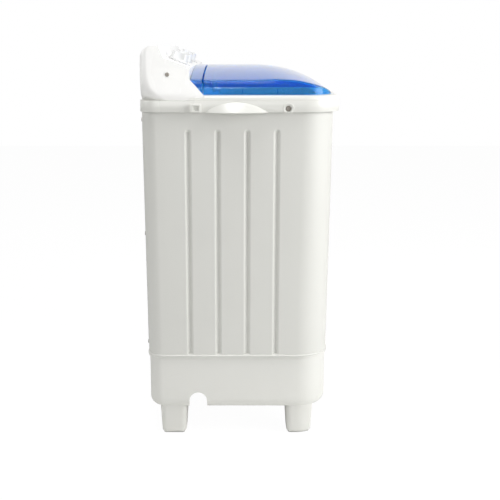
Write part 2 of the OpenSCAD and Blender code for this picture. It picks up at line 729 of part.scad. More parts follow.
// Wash tub with its overflow, lint filter and drain
tub_r = 50;
function tub_plan(d) = outline(wash_x0 + d, wash_x1 - d, wash_y0 + d, wash_y1 - d, tub_r - d, tub_r - d);
z_wash_floor = z_under - wash_deep;
z_wash_bottom = z_wash_floor - wall;
seal_r = 16;
overflow_r = 17;
drain_x = wash_x0 + 48;
drain_y = wash_y1 - overflow_r - 1;
overflow_top = z_under - 80;
filter_w = 90;
filter_z0 = z_wash_floor + 170;
filter_z1 = z_wash_floor + 330;
rail_t = 12;
module wash_tub() {
  color(white) difference() {
    union() {
      slab(tub_plan(-wall), z_wash_bottom, z_under);
      slab(tub_plan(-wall - 5), z_under - 3, z_under);
    }
    slab(tub_plan(0), z_wash_floor, z_under + 1);
    translate([wash_x, wash_y, z_wash_bottom - 1]) cylinder(r = seal_r, h = wall + 2);
    translate([drain_x, drain_y, z_wash_bottom - 1]) cylinder(r = 11, h = wall + 2);
  }
}
module overflow_pipe() {
  color(pale_grey) translate([drain_x, drain_y, 0]) ring(overflow_r, overflow_r - 3, z_wash_floor, overflow_top);
}
module overflow_grille() {
  x0 = drain_x - overflow_r - 8;
  x1 = drain_x + overflow_r + 30;
  y0 = drain_y - overflow_r - 6;
  z0 = z_wash_floor;
  z1 = overflow_top + 15;
  color(white) difference() {
    intersection() {
      block([x0, y0, z0], [x1, wash_y1, z1]);
      slab(tub_plan(0.1), z0, z1);
    }
    block([x0 + 2, y0 + 2, z0 - 1], [x1 - 2, wash_y1 + 1, z1 - 2]);
    for (z = [z0 + 12:14:z1 - 20]) block([x0 + 12, y0 - 1, z], [x1 - 12, y0 + 3, z + 5]);
    translate([0, 0, z0 - 1]) block([x0 - 1, y0 + 14, 0], [x0 + 4, wash_y1 + 1, z1 - z0 + 2]);
  }
}
module lint_filter_rail() {
  color(pale_grey) for (side = [-1, 1]) translate([wash_x1, wash_y + side * (filter_w / 2 + 5), 0]) difference() {
    block([-rail_t, -5, filter_z0 - 6], [0, 5, filter_z1 + 70]);
    translate([0, -side * 4, 0]) block([-rail_t + 3, -3, filter_z0], [-4, 3, filter_z1 + 71]);
  }
}
module lint_filter() {
  slot_n = 8;
  pitch = (filter_z1 - filter_z0 - 16) / slot_n;
  color(pale_grey) difference() {
    union() {
      block([wash_x1 - rail_t + 3.3, wash_y - filter_w / 2 - 3.7, filter_z0], [wash_x1 - 4.3, wash_y + filter_w / 2 + 3.7, filter_z1]);
      block([wash_x1 - rail_t - 10, wash_y - filter_w / 2 + 2, filter_z0], [wash_x1 - rail_t + 4, wash_y + filter_w / 2 - 2, filter_z1]);
    }
    block([wash_x1 - rail_t - 8, wash_y - filter_w / 2 + 4, filter_z0 + 2], [wash_x1, wash_y + filter_w / 2 - 4, filter_z1 - 8]);
    for (i = [0:slot_n - 1]) for (j = [-3:3])
      block([wash_x1 - rail_t - 11, wash_y + j * 11 - 4, filter_z0 + 6 + i * pitch], [wash_x1 - rail_t - 6, wash_y + j * 11 + 4, filter_z0 + i * pitch + pitch - 2]);
  }
}

// Wash drive: pulsator, shaft, bearing, pulleys, belt and motor
cushion_h = 12;
motor_z0 = z_floor_top + cushion_h;
motor_z1 = motor_z0 + motor_h;
motor_shaft_r = 6;
rotor_r = 38;
motor_reach = 152;
wash_motor_x = wash_x + motor_reach;
wash_motor_y = spin_y;
pulley_z = motor_z1 + 10;
pulley_h = belt_w + 7;
groove_cut = 6;
belt_t = 6;
belt_clear = 0.6;
pulsator_z = z_wash_floor + 4;
wash_shaft_top = pulsator_z + 16;
module pulley(r, bore, web) {
  translate([0, 0, pulley_z]) difference() {
    cylinder(r = r, h = pulley_h);
    translate([0, 0, (pulley_h - belt_w) / 2 - 0.5]) ring(r + 1, r - groove_cut, 0, belt_w + 1);
    translate([0, 0, -1]) cylinder(r = bore, h = pulley_h + 2);
    if (web) for (a = [0:60:300]) rotate(a) translate([r * 0.52, 0, -1]) cylinder(r = r * 0.18, h = pulley_h + 2);
  }
}
module pulsator() {
  color(pale_grey) translate([wash_x, wash_y, pulsator_z]) difference() {
    union() {
      cylinder(r = pulsator_r, h = 6);
      cylinder(r1 = pulsator_r - 8, r2 = 30, h = 16);
      for (a = [0:60:300]) rotate(a) hull() {
        translate([30, -5, 4]) cube([10, 10, 20]);
        translate([pulsator_r - 16, -4, 4]) cube([8, 8, 14]);
      }
      cylinder(r = 26, h = 24);
    }
    translate([0, 0, -1]) cylinder(r = shaft_r, h = wash_shaft_top - pulsator_z + 1);
    translate([0, 0, 10]) cylinder(r = 3, h = 20);
    translate([0, 0, 20]) cylinder(r = 9, h = 10);
  }
}
module pulsator_screw() {
  color(steel) translate([wash_x, wash_y, pulsator_z]) {
    translate([0, 0, 16]) cylinder(r = 3, h = 5);
    translate([0, 0, 20]) cylinder(r = 8, h = 3);
  }
}
module wash_shaft() {
  color(steel) translate([wash_x, wash_y, pulley_z]) cylinder(r = shaft_r, h = wash_shaft_top - pulley_z);
}
module wash_bearing() {
  z0 = pulley_z + pulley_h + 4;
  color(dark) translate([wash_x, wash_y, 0]) {
    ring(22, shaft_r + running, z0, z_wash_bottom);
    ring(46, 22, z_wash_bottom - 5, z_wash_bottom);
  }
}
module wash_shaft_seal() {
  color(dark) translate([wash_x, wash_y, 0]) ring(seal_r, shaft_r + running, z_wash_bottom, z_wash_floor + 1);
}
module wash_pulley() {
  color(steel) translate([wash_x, wash_y, 0]) pulley(wash_pulley_r, shaft_r, true);
}
module wash_motor_pulley() {
  color(steel) translate([wash_motor_x, wash_motor_y, 0]) pulley(motor_pulley_r, motor_shaft_r, false);
}
function belt_plan(d) = let (r1 = wash_pulley_r - groove_cut + d, r2 = motor_pulley_r - groove_cut + d,
  v = [wash_motor_x - wash_x, wash_motor_y - wash_y], a = atan2(v[1], v[0]), t = acos((r1 - r2) / norm(v)))
  concat([for (i = [0:36]) let (b = a + t + (360 - 2 * t) * i / 36) [wash_x + r1 * cos(b), wash_y + r1 * sin(b)]],
    [for (i = [0:16]) let (b = a - t + 2 * t * i / 16) [wash_motor_x + r2 * cos(b), wash_motor_y + r2 * sin(b)]]);
module drive_belt() {
  z0 = pulley_z + (pulley_h - belt_w) / 2;
  color(dark) difference() {
    slab(belt_plan(belt_clear + belt_t), z0, z0 + belt_w);
    slab(belt_plan(belt_clear), z0 - 1, z0 + belt_w + 1);
  }
}
module motor_case(x, y, z0) {
  translate([x, y, z0]) difference() {
    cylinder(r = motor_r, h = motor_h);
    translate([0, 0, 8]) cylinder(r = rotor_r + 0.8, h = motor_h - 16);
    translate([0, 0, -1]) cylinder(r = motor_shaft_r + running, h = motor_h + 2);
  }
}
module motor_rotor(x, y, z0, over) {
  translate([x, y, z0]) {
    translate([0, 0, 10]) cylinder(r = rotor_r, h = motor_h - 20);
    translate([0, 0, 2]) cylinder(r = motor_shaft_r, h = motor_h + over - 2);
  }
}
module wash_motor() {
  color(steel) motor_case(wash_motor_x, wash_motor_y, motor_z0);
}
module wash_motor_rotor() {
  color(steel) motor_rotor(wash_motor_x, wash_motor_y, motor_z0, 10 + pulley_h);
}
module wash_motor_cushions() {
  color(dark) for (a = [30, 150, 270]) translate([wash_motor_x, wash_motor_y, z_floor_top])
    rotate(a) translate([motor_r - 15, 0, 0]) cylinder(r = 13, h = cushion_h);
}

// Spin side: tub, perforated basket, drive and brake
z_spin_floor = z_under - spin_deep;
z_spin_bottom = z_spin_floor - wall;
spring_h = 36;
spin_motor_z0 = z_floor_top + spring_h;
spin_motor_z1 = spin_motor_z0 + motor_h;
drum_z = spin_motor_z1 + 8;
drum_h = 30;
brake_gap = 4;
brake_x = drum_r + 16;
brake_y = -34;
bellows_r = 20;
basket_wall = 2.5;
basket_r = spin_tub_r - basket_gap;
basket_z = z_spin_floor + 18;
basket_top = basket_z + basket_h;
hole_r = 4;
ring_h = 24;
ring_in = basket_r - 24;
ledge_r = ring_in - 6;
spin_drain_y = spin_tub_r - 14;
module at_spin() {
  translate([spin_x, spin_y, 0]) children();
}
module spin_tub() {
  color(white) at_spin() difference() {
    union() {
      ring(spin_tub_r + wall, spin_tub_r, z_spin_bottom, z_under);
      ring(spin_tub_r + wall + 5, spin_tub_r, z_under - 3, z_under);
      translate([0, 0, z_spin_bottom]) cylinder(r = spin_tub_r + 1, h = wall);
      translate([brake_x, brake_y, drum_z + drum_h]) cylinder(r = 8, h = z_spin_bottom - drum_z - drum_h + 1);
      translate([brake_x, brake_y, drum_z - 1]) cylinder(r = 3, h = drum_h + 5);
    }
    translate([0, 0, z_spin_bottom - 1]) cylinder(r = bellows_r, h = wall + 2);
    translate([0, spin_drain_y, z_spin_bottom - 1]) cylinder(r = 7, h = wall + 2);
  }
}
module spin_shaft_seal() {
  color(dark) at_spin() {
    ring(bellows_r, shaft_r + running, z_spin_bottom - 14, z_spin_floor + 4);
    ring(bellows_r + 8, bellows_r, z_spin_bottom - 4, z_spin_bottom);
  }
}
module spin_basket() {
  pitch = (basket_h - ring_h - 40) / basket_rows;
  color(pale_grey) at_spin() difference() {
    union() {
      difference() {
        slab(round_plan(basket_r, 3 * basket_cols), basket_z, basket_top);
        slab(round_plan(basket_r - basket_wall, 3 * basket_cols), basket_z + 3, basket_top + 1);
      }
      translate([0, 0, basket_z]) cylinder(r1 = 34, r2 = 22, h = 34);
    }
    for (i = [0:basket_rows - 1]) for (j = [0:basket_cols / 2 - 1])
      translate([0, 0, basket_z + 24 + (i + 0.5) * pitch]) rotate([90, 0, (j + (i % 2) / 3) * 360 / basket_cols])
        cylinder(r = hole_r, h = 2 * basket_r + 10, center = true, $fn = 8);
    translate([0, 0, basket_z - 1]) cylinder(r = shaft_r, h = 29);
  }
}
module balance_ring() {
  color(white) at_spin() {
    ring((basket_r - basket_wall) * cos(60 / basket_cols) - 0.1, ring_in, basket_top - ring_h, basket_top);
    ring(basket_r + 3, ring_in, basket_top, basket_top + 4);
    ring(ring_in, ledge_r, basket_top - ring_h, basket_top - ring_h + 3);
  }
}
module press_plate() {
  color(pale_grey) at_spin() translate([0, 0, basket_top - ring_h + 3]) {
    difference() {
      cylinder(r = ring_in - 0.6, h = 3);
      for (r = [ring_in - 14:-20:26]) for (a = [0:30:330]) rotate(a + r) translate([r, 0, -1]) cylinder(r = 4, h = 5);
    }
    difference() {
      translate([-22, -4, 3]) cube([44, 8, 16]);
      translate([-15, -5, 3]) cube([30, 10, 10]);
    }
  }
}
module spin_shaft() {
  color(steel) at_spin() translate([0, 0, drum_z + 8]) cylinder(r = shaft_r, h = basket_z + 28 - drum_z - 8);
}
module brake_drum() {
  color(steel) at_spin() translate([0, 0, drum_z]) difference() {
    cylinder(r = drum_r, h = drum_h);
    translate([0, 0, -1]) cylinder(r = motor_shaft_r, h = 9);
    translate([0, 0, 8]) cylinder(r = shaft_r, h = drum_h);
    translate([0, 0, 12]) ring(drum_r - 6, shaft_r + 8, 0, drum_h);
  }
}
module brake_lever() {
  color(steel) at_spin() difference() {
    union() {
      translate([brake_x, brake_y, drum_z + 8]) cylinder(r = 8, h = 14);
      block([brake_x - 4, brake_y, drum_z + 12], [brake_x + 4, 24, drum_z + 18]);
      block([drum_r - 2, -8, drum_z + 7], [brake_x, 12, drum_z + 23]);
    }
    translate([brake_x, brake_y, drum_z]) cylinder(r = 3 + running, h = 30);
    translate([0, 0, drum_z]) cylinder(r = drum_r + brake_gap, h = 30);
  }
}
module spin_motor() {
  color(steel) motor_case(spin_x, spin_y, spin_motor_z0);
}
module spin_motor_rotor() {
  color(steel) motor_rotor(spin_x, spin_y, spin_motor_z0, 16);
}
coil_n = 5;
coil_r = 10;
coil_wire = 1.5;
coil_rise = (spring_h - 2 * coil_wire) / coil_n;
echo(least_gap_of_the_coils = coil_rise - 2 * coil_wire);
function coil_ring(a) = let (z = coil_wire + coil_rise * a / 360, c = cos(a), s = sin(a))
  [for (i = [0:5]) [(coil_r + coil_wire * cos(60 * i)) * c, (coil_r + coil_wire * cos(60 * i)) * s, z - coil_wire * sin(60 * i)]];
module spin_motor_springs() {
  color(steel) for (a = [30, 150, 270]) translate([spin_x, spin_y, z_floor_top]) rotate(a) translate([motor_r - 16, 0, 0]) {
    skin([for (i = [0:8 * coil_n]) coil_ring(45 * i)]);
    cylinder(r = coil_r - coil_wire - 1, h = spring_h);
  }
}

// Drain: valve under the wash tub, its plug and stem, and the pipes to the notch in the skirt
valve_r = 24;
valve_h = 64;
valve_z = z_wash_bottom - valve_h;
seat_z = valve_z + 24;
stub_z = valve_z + 12;
stub_r = 9;
outlet_x = drain_x + 50;
outlet_l = 32;
spigot_l = 17;
pipe_r = drain_r - 1;
pipe_wall = 2.5;
module drain_valve() {
  color(dark) difference() {
    union() {
      translate([drain_x, drain_y, valve_z]) cylinder(r = valve_r, h = valve_h);
      translate([drain_x, drain_y, valve_z - 10]) cylinder(r = pipe_r, h = 12);
      rod([drain_x, drain_y, stub_z], [drain_x + valve_r + 12, drain_y, stub_z], stub_r);
    }
    translate([drain_x, drain_y, valve_z + 3]) cylinder(r = valve_r - 3, h = seat_z - valve_z - 3);
    translate([drain_x, drain_y, seat_z + 3]) cylinder(r = valve_r - 3, h = valve_h);
    translate([drain_x, drain_y, seat_z - 1]) cylinder(r = 10, h = 5);
    translate([drain_x, drain_y, valve_z - 11]) cylinder(r = pipe_r - pipe_wall, h = 20);
    rod([drain_x, drain_y, stub_z], [drain_x + valve_r + 20, drain_y, stub_z], stub_r - pipe_wall);
  }
}
module drain_plug() {
  color(dark) translate([drain_x, drain_y, 0]) {
    translate([0, 0, seat_z + 3]) cylinder(r = 14, h = 12);
    translate([0, 0, seat_z + 15]) cylinder(r = 2.5, h = overflow_top - 20 - seat_z - 15);
    ring(7, 3, overflow_top - 20, overflow_top - 16);
    translate([0, 0, overflow_top - 20]) cylinder(r = 3.5, h = 2);
  }
}
module drain_pipe() {
  x_end = outlet_x - outlet_l;
  main = [[drain_x, drain_y, valve_z - 10], [drain_x, drain_y, z_floor_top + 60], [outlet_x, drain_y, z_floor_top + 60],
    [outlet_x, notch_y, z_floor_top + 60],
    [outlet_x, notch_y, notch_z], [x_end, notch_y, notch_z]];
  branch = [[drain_x + valve_r + 12, drain_y, stub_z], [spin_x, drain_y, stub_z], [spin_x, spin_y + spin_drain_y, stub_z],
    [spin_x, spin_y + spin_drain_y, z_spin_bottom]];
  color(dark) {
    difference() {
      union() {
        pipe_run(main, pipe_r);
        translate([0, notch_y, notch_z]) along_x(x_end, x_end + spigot_l + 1, drain_r);
        translate([0, notch_y, notch_z]) along_x(x_end + spigot_l, x_end + spigot_l + 3, drain_r + 2.5);
      }
      pipe_run(main, pipe_r - pipe_wall);
      translate([x_end - 1, notch_y, notch_z]) along_x(0, 5, pipe_r - pipe_wall);
    }
    difference() {
      pipe_run(branch, stub_r);
      pipe_run(branch, stub_r - pipe_wall);
    }
  }
}
module capacitors() {
  color(pale_grey) for (x = [spin_x - 130, spin_x - 65]) block([x, y_back - 70, z_floor_top], [x + 48, y_back - 42, z_floor_top + 74]);
}

base();
foot_pads();
cabinet();
back_panel();
back_panel_screws();
cord_gland();
top_cover();
side_grips();
hose_hook_socket();
console();
console_back();
shell_screws();
hinge_strip();
hinge_pins();
wash_lid();
spin_lid();
spin_safety_cover();
wash_timer();
function_selector();
spin_timer();
wash_timer_spindle();
function_selector_spindle();
spin_timer_spindle();
wash_timer_knob();
function_selector_knob();
spin_timer_knob();
water_inlet();
inlet_duct();
inlet_slider();
wash_tub();
lint_filter();
lint_filter_rail();
overflow_grille();
overflow_pipe();
pulsator();
pulsator_screw();
wash_shaft();
wash_bearing();
wash_shaft_seal();
wash_pulley();
drive_belt();
wash_motor();
wash_motor_rotor();
wash_motor_pulley();
wash_motor_cushions();
spin_tub();
spin_basket();
balance_ring();
press_plate();
spin_shaft();
spin_shaft_seal();
brake_drum();
brake_lever();
spin_motor();
spin_motor_rotor();
spin_motor_springs();
drain_valve();
drain_plug();
drain_pipe();
capacitors();
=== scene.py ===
# Twin tub washing machine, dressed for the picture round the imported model.
# Sizes are in millimetres from the middle of the machine on the floor: X to the right, -Y to the front, Z up.
import math

import bmesh
import bpy
from mathutils import Matrix, Vector


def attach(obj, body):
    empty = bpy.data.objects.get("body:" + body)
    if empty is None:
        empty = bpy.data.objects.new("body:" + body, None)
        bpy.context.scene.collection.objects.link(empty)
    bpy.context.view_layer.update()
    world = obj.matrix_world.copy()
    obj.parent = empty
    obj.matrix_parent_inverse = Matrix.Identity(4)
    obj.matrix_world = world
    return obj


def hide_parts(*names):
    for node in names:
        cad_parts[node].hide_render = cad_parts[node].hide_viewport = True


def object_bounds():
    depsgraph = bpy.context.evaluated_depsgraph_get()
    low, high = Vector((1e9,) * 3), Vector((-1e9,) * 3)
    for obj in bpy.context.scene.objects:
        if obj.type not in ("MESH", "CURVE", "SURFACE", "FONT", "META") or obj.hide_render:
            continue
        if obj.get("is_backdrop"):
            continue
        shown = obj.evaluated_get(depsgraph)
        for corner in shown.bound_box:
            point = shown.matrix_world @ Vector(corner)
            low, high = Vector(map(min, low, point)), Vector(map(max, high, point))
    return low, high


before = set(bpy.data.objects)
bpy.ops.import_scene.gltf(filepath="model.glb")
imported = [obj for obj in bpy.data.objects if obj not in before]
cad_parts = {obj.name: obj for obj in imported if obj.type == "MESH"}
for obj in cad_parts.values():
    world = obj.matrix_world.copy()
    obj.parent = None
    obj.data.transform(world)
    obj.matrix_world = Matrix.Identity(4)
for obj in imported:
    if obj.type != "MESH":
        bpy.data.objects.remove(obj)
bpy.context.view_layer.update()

# The photographer's place: level with the console, looking at the machine's left side and a little down.
# A long lens keeps the side almost flat.
EYE, LOOK_DOWN = (-2.360, 0.0035, 0.880), 12.4
LENS, SENSOR, SHIFT = 67.1, 36, 0.022


def add(name, data):
    """A new object in the scene."""
    made = bpy.data.objects.new(name, data)
    bpy.context.scene.collection.objects.link(made)
    return made


lens = bpy.data.cameras.new("photographer")
lens.lens, lens.sensor_width, lens.shift_x = LENS, SENSOR, SHIFT
camera = add("photographer", lens)
camera.location = EYE
camera.rotation_euler = (math.radians(90 - LOOK_DOWN), 0, math.radians(-90))
bpy.context.scene.camera = camera
bpy.context.scene.view_settings.view_transform = "Standard"


class Wire:
    """A socket of a node tree; arithmetic on it adds Math nodes."""

    def __init__(self, tree, socket):
        self.tree, self.socket = tree, socket

    def maths(self, operation, *values):
        return self.tree.node("ShaderNodeMath", {"operation": operation}, dict(enumerate(values)))

    def __add__(self, other):
        return self.maths("ADD", self, other)

    def __radd__(self, other):
        return self.maths("ADD", other, self)

    def __rsub__(self, other):
        return self.maths("SUBTRACT", other, self)

    def __mul__(self, other):
        return self.maths("MULTIPLY", self, other)

    def rise(self, low, high):
        """0 up to low, 1 from high on, smooth between them."""
        span = {"Value": self, "From Min": low, "From Max": high}
        return self.tree.node("ShaderNodeMapRange", {"interpolation_type": "SMOOTHSTEP"}, span)


class Tree:
    """A node tree that nodes are added to; their values are constants or Wires."""

    def __init__(self, nodes):
        self.nodes = nodes

    def node(self, kind, settings, values, output=0):
        made = self.nodes.nodes.new(kind)
        for key, value in settings.items():
            setattr(made, key, value)
        for key, value in values.items():
            self.join(made.inputs[key], value)
        return Wire(self, made.outputs[output])

    def join(self, socket, value):
        if isinstance(value, Wire):
            self.nodes.links.new(value.socket, socket)
        else:
            socket.default_value = value


class Finish(Tree):
    """A material round one Principled shader, whose fixed sockets are set directly."""

    def __init__(self, name, **fixed):
        self.material = bpy.data.materials.new(name)
        self.material.use_nodes = True
        super().__init__(self.material.node_tree)
        self.shader = self.nodes.nodes["Principled BSDF"]
        self.paint(**fixed)

    def paint(self, **values):
        for key, value in values.items():
            self.join(self.shader.inputs[key.replace("_", " ")], value)

    def place(self):
        return self.node("ShaderNodeTexCoord", {}, {}, "Object")

    def height(self):
        return self.node("ShaderNodeSeparateXYZ", {}, {"Vector": self.place()}, "Z")

    def noise(self, scale, detail=3, vector=None, rough=0.5):
        values = {"Vector": vector or self.place(), "Scale": scale, "Detail": detail, "Roughness": rough}
        return self.node("ShaderNodeTexNoise", {}, values, "Fac")

    def streaks(self, scales, detail, rough=0.5):
        """Noise with a scale of its own along each axis."""
        stretched = self.node("ShaderNodeMapping", {}, {"Vector": self.place(), "Scale": scales})
        return self.noise(1, detail, stretched, rough)

    def blend(self, share, first, second):
        return self.node("ShaderNodeMix", {"data_type": "RGBA"}, {0: share, 6: first, 7: second}, 2)

    def bump(self, height, strength, depth=0.001, normal=None):
        values = {"Height": height, "Strength": strength, "Distance": depth}
        return self.node("ShaderNodeBump", {}, {**values, "Normal": normal} if normal else values)


# Studio: a pale floor that glows white in the picture, air that is seen white but lights the machine only a
# little, and four soft lamps: in front, high over the left side, low on the left and behind.
FLOOR_HALF, FLOOR_SUNK, FLOOR_SEEN, FLOOR_GLOW, AIR_LEVEL = 6.0, 0.0006, 0.93, 1.04, 0.16
WHITE = (1, 1, 1, 1)
floor_mesh = bpy.data.meshes.new("studio_floor")
corners = ((-1, -1), (1, -1), (1, 1), (-1, 1))
floor_mesh.from_pydata([(x * FLOOR_HALF, y * FLOOR_HALF, -FLOOR_SUNK) for x, y in corners], [], [(0, 1, 2, 3)])
floor = add("studio_floor", floor_mesh)
paint = Finish("studio_floor", Roughness=0.9)
paint.paint(Base_Color=paint.blend(paint.noise(3, 2), (0.86, 0.86, 0.85, 1), (0.9, 0.9, 0.89, 1)))
seen = paint.node("ShaderNodeLightPath", {}, {}, "Is Camera Ray") * FLOOR_SEEN
glow = paint.node("ShaderNodeEmission", {}, {"Color": WHITE, "Strength": FLOOR_GLOW})
surface = paint.node("ShaderNodeMixShader", {}, {0: seen, 1: Wire(paint, paint.shader.outputs[0]), 2: glow})
paint.join(paint.nodes.nodes["Material Output"].inputs["Surface"], surface)
floor_mesh.materials.append(paint.material)
floor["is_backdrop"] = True

world = bpy.data.worlds.new("studio_air")
bpy.context.scene.world = world
world.use_nodes = True
air = Tree(world.node_tree)
rays = ("Camera", "Transmission", "Glossy")
shown, *others = [air.node("ShaderNodeLightPath", {}, {}, "Is %s Ray" % ray) for ray in rays]
for other in others:
    shown = shown.maths("MAXIMUM", shown, other)
level = air.node("ShaderNodeMapRange", {}, {"Value": shown, "To Min": AIR_LEVEL, "To Max": 1.0})
background = world.node_tree.nodes["Background"].inputs
air.join(background["Color"], WHITE)
air.join(background["Strength"], level)

for name, place, target, size, power in (("key_lamp", (-1.0, -2.0, 1.3), (0, 0, 0.5), 1.4, 45),
                                         ("side_lamp", (-0.85, 0.2, 3.6), (-0.35, 0, 0.7), 0.9, 42),
                                         ("low_lamp", (-4.8, 0.5, 1.6), (-0.35, 0.15, 0.82), 1.5, 30),
                                         ("rear_lamp", (-0.8, 2.6, 1.8), (0, 0, 0.5), 1.2, 20)):
    light = bpy.data.lights.new(name, "AREA")
    light.energy, light.size = power, size
    lamp = add(name, light)
    lamp.location = place
    lamp.rotation_mode = "QUATERNION"
    lamp.rotation_quaternion = (Vector(target) - Vector(place)).to_track_quat("-Z", "Y")


# Base: one injection moulding in white polypropylene, with a deep skirt that curves in at its bottom edge,
# an arched notch for the drain hose, a floor that carries the motors, and four tapered feet.
Z_SKIRT, Z_FLOOR, Z_BODY, WALL, FLOOR_T = 68, 116, 190, 3, 4
SKIRT_X, SKIRT_FRONT, SKIRT_REAR, SKIRT_R, SKIRT_REAR_R, SKIRT_CURL = 346, -196, 207.5, 68, 31, 20
NOTCH_Y, NOTCH_Z, NOTCH_R = 97, 83, 20
FLOOR_HOLES = ((-6, -55, 24), (190, -55, 24), (-230, NOTCH_Y, 15))
FOOT_X, FOOT_Y, FOOT_R, FOOT_TAPER, FOOT_TOE, FOOT_IN, FOOT_PLACES = 72, 63, 14, 4, 6, 6, (-166, 122)


def moulding(name, tint, rough, grain):
    """Moulded polypropylene: clouded a little, dustier low down, finely grained."""
    made = Finish(name, IOR=1.49)
    cloud, streak = made.noise(5, 4), made.streaks((38, 38, 2.2), 4)
    dust = (1 - made.height().rise(0.0, 0.24)) * made.noise(26, 5)
    worn = made.blend(cloud.rise(0.35, 0.7) * 0.5, tint, [c * 0.965 for c in tint[:3]] + [1])
    dull = made.blend(dust * 0.28, worn, (tint[0] * 0.8, tint[1] * 0.775, tint[2] * 0.72, 1))
    specks = made.noise(210, 2).rise(0.73, 0.78) * made.noise(9, 2).rise(0.45, 0.6)
    made.paint(Base_Color=made.blend(specks * 0.25, dull, (0.45, 0.43, 0.4, 1)))
    made.paint(Roughness=rough + cloud * 0.08 + streak * 0.05 + dust * 0.15)
    made.paint(Normal=made.bump(streak, 0.08, 0.0006, made.bump(made.noise(1400, 2), grain, 0.0002)))
    return made.material


satin_white = moulding("satin_white_shell", (0.745, 0.745, 0.71, 1), 0.36, 0.25)


def polar(r, a, x=0, y=0):
    """The point at the distance r and the angle of a degrees from (x, y)."""
    return x + r * math.cos(math.radians(a)), y + r * math.sin(math.radians(a))


def ring(half, front, rear, front_r, rear_r, stops=(), back=(), n=16):
    """Points round an oblong with round corners, from the left front corner on, with stops on its sides and back."""
    def arc(x, y, r, start):
        return [polar(r, start + 90 * i / n, x, y) for i in range(n + 1)]
    return (arc(-half + front_r, front + front_r, front_r, 180) + arc(half - front_r, front + front_r, front_r, 270)
            + [(half, y) for y in stops] + arc(half - rear_r, rear - rear_r, rear_r, 0) + [(x, rear) for x in back]
            + arc(-half + rear_r, rear - rear_r, rear_r, 90) + [(-half, y) for y in reversed(stops)])


def wrap(rows, ends=True):
    """Points and faces through closed rows that have the same count, with closed ends if asked."""
    n, last = len(rows[0]), (len(rows) - 1) * len(rows[0])
    faces = [(k + i, k + (i + 1) % n, k + n + (i + 1) % n, k + n + i) for k in range(0, last, n) for i in range(n)]
    if ends:
        faces += [tuple(reversed(range(n))), tuple(range(last, last + n))]
    return [p for row in rows for p in row], faces


def tower(outline, levels):
    """A closed solid through one outline function at (height, inset) levels."""
    return wrap([[(x, y, z) for x, y in outline(d)] for z, d in levels])


def spun(profile, place, n=64, hollow=False):
    """A solid of revolution from (radius, height) points; hollow joins the profile's end to its start."""
    rows = [[place(*polar(r, 360 * i / n), h) for i in range(n)] for r, h in profile]
    return wrap(rows + rows[:1] if hollow else rows, not hollow)


def upright(x, y):
    return lambda a, b, h: (x + a, y + b, h)


def round_rod(x, y, z0, z1, r, n=40):
    return spun([(r, z0), (r, z1)], upright(x, y), n)


def form(name, made, finish, crease=35, keep=False):
    """An object from points in millimetres and faces; keep leaves the faces turned as they are."""
    points, faces = made
    mesh = bpy.data.meshes.new(name)
    mesh.from_pydata([(x / 1000, y / 1000, z / 1000) for x, y, z in points], [], faces)
    work = bmesh.new()
    work.from_mesh(mesh)
    bmesh.ops.remove_doubles(work, verts=work.verts, dist=2e-6)
    bmesh.ops.dissolve_degenerate(work, dist=1e-6, edges=work.edges)
    if not keep:
        bmesh.ops.recalc_face_normals(work, faces=work.faces)
    work.to_mesh(mesh)
    work.free()
    mesh.shade_smooth()
    mesh.set_sharp_from_angle(angle=math.radians(crease))
    mesh.materials.append(finish)
    return add(name, mesh)


def settle(made, crease=35):
    """Turns an object's modifiers into its mesh."""
    bpy.context.view_layer.update()
    mesh = bpy.data.meshes.new_from_object(made.evaluated_get(bpy.context.evaluated_depsgraph_get()))
    made.modifiers.clear()
    made.data = mesh
    mesh.shade_smooth()
    mesh.set_sharp_from_angle(angle=math.radians(crease))
    return made


def thicken(made, depth, crease=35):
    """Gives an open shell its wall, inwards from the faces' front."""
    wall = made.modifiers.new("wall", "SOLIDIFY")
    wall.thickness, wall.offset, wall.use_even_offset = depth / 1000, -1, False
    return settle(made, crease)


def cut(made, tools, how="DIFFERENCE", crease=35):
    """Cuts solids or objects out of an object, or joins or meets them with it, and uses them up."""
    for tool in tools:
        if isinstance(tool, tuple):
            tool = form("tool", tool, made.data.materials[0])
        work = made.modifiers.new("cut", "BOOLEAN")
        work.operation, work.solver, work.object = how, "EXACT", tool
        settle(made, crease)
        bpy.data.objects.remove(tool)
    return made


def gather(name, parts):
    """Joins objects into the first one's mesh, each with its own finish."""
    work, finishes = bmesh.new(), []
    for part in parts:
        before = len(work.faces)
        work.from_mesh(part.data)
        work.faces.ensure_lookup_table()
        for face in work.faces[before:]:
            own = part.data.materials[face.material_index]
            if own not in finishes:
                finishes.append(own)
            face.material_index = finishes.index(own)
    first = parts[0]
    work.to_mesh(first.data)
    work.free()
    first.data.materials.clear()
    for finish in finishes:
        first.data.materials.append(finish)
    for part in parts[1:]:
        bpy.data.objects.remove(part)
    first.name = name
    return first


def fit(made, body="machine"):
    """Fixes a piece to its body, and lets it stand for the node that has its name."""
    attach(made, body)
    node = made.name.partition(".")[0]
    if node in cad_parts:
        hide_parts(node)


def skirt_row(z, out):
    """The skirt's outline at a height: it curves in towards its bottom edge, more at the back than elsewhere."""
    up = max(0, Z_SKIRT + SKIRT_CURL - z) / SKIRT_CURL
    curl = 1 - math.sqrt(max(0, 1 - up ** 2))
    drawn, rear = 10 * curl - out, 18 * curl - out
    return ring(SKIRT_X - drawn, SKIRT_FRONT + drawn, SKIRT_REAR - rear, SKIRT_R - drawn, SKIRT_REAR_R - drawn,
                skirt_stops)


def skirt_plan(d):
    """The skirt's outline drawn in by d."""
    return ring(SKIRT_X - d, SKIRT_FRONT + d, SKIRT_REAR - d, max(4, SKIRT_R - d), max(4, SKIRT_REAR_R - d))


def notch_low(x, y):
    """The lowest height of the skirt at a place on its left side."""
    if x > -SKIRT_X + 30 or abs(y - NOTCH_Y) > NOTCH_R + 0.01:
        return 0
    return NOTCH_Z + math.sqrt(max(0, NOTCH_R ** 2 - (y - NOTCH_Y) ** 2))


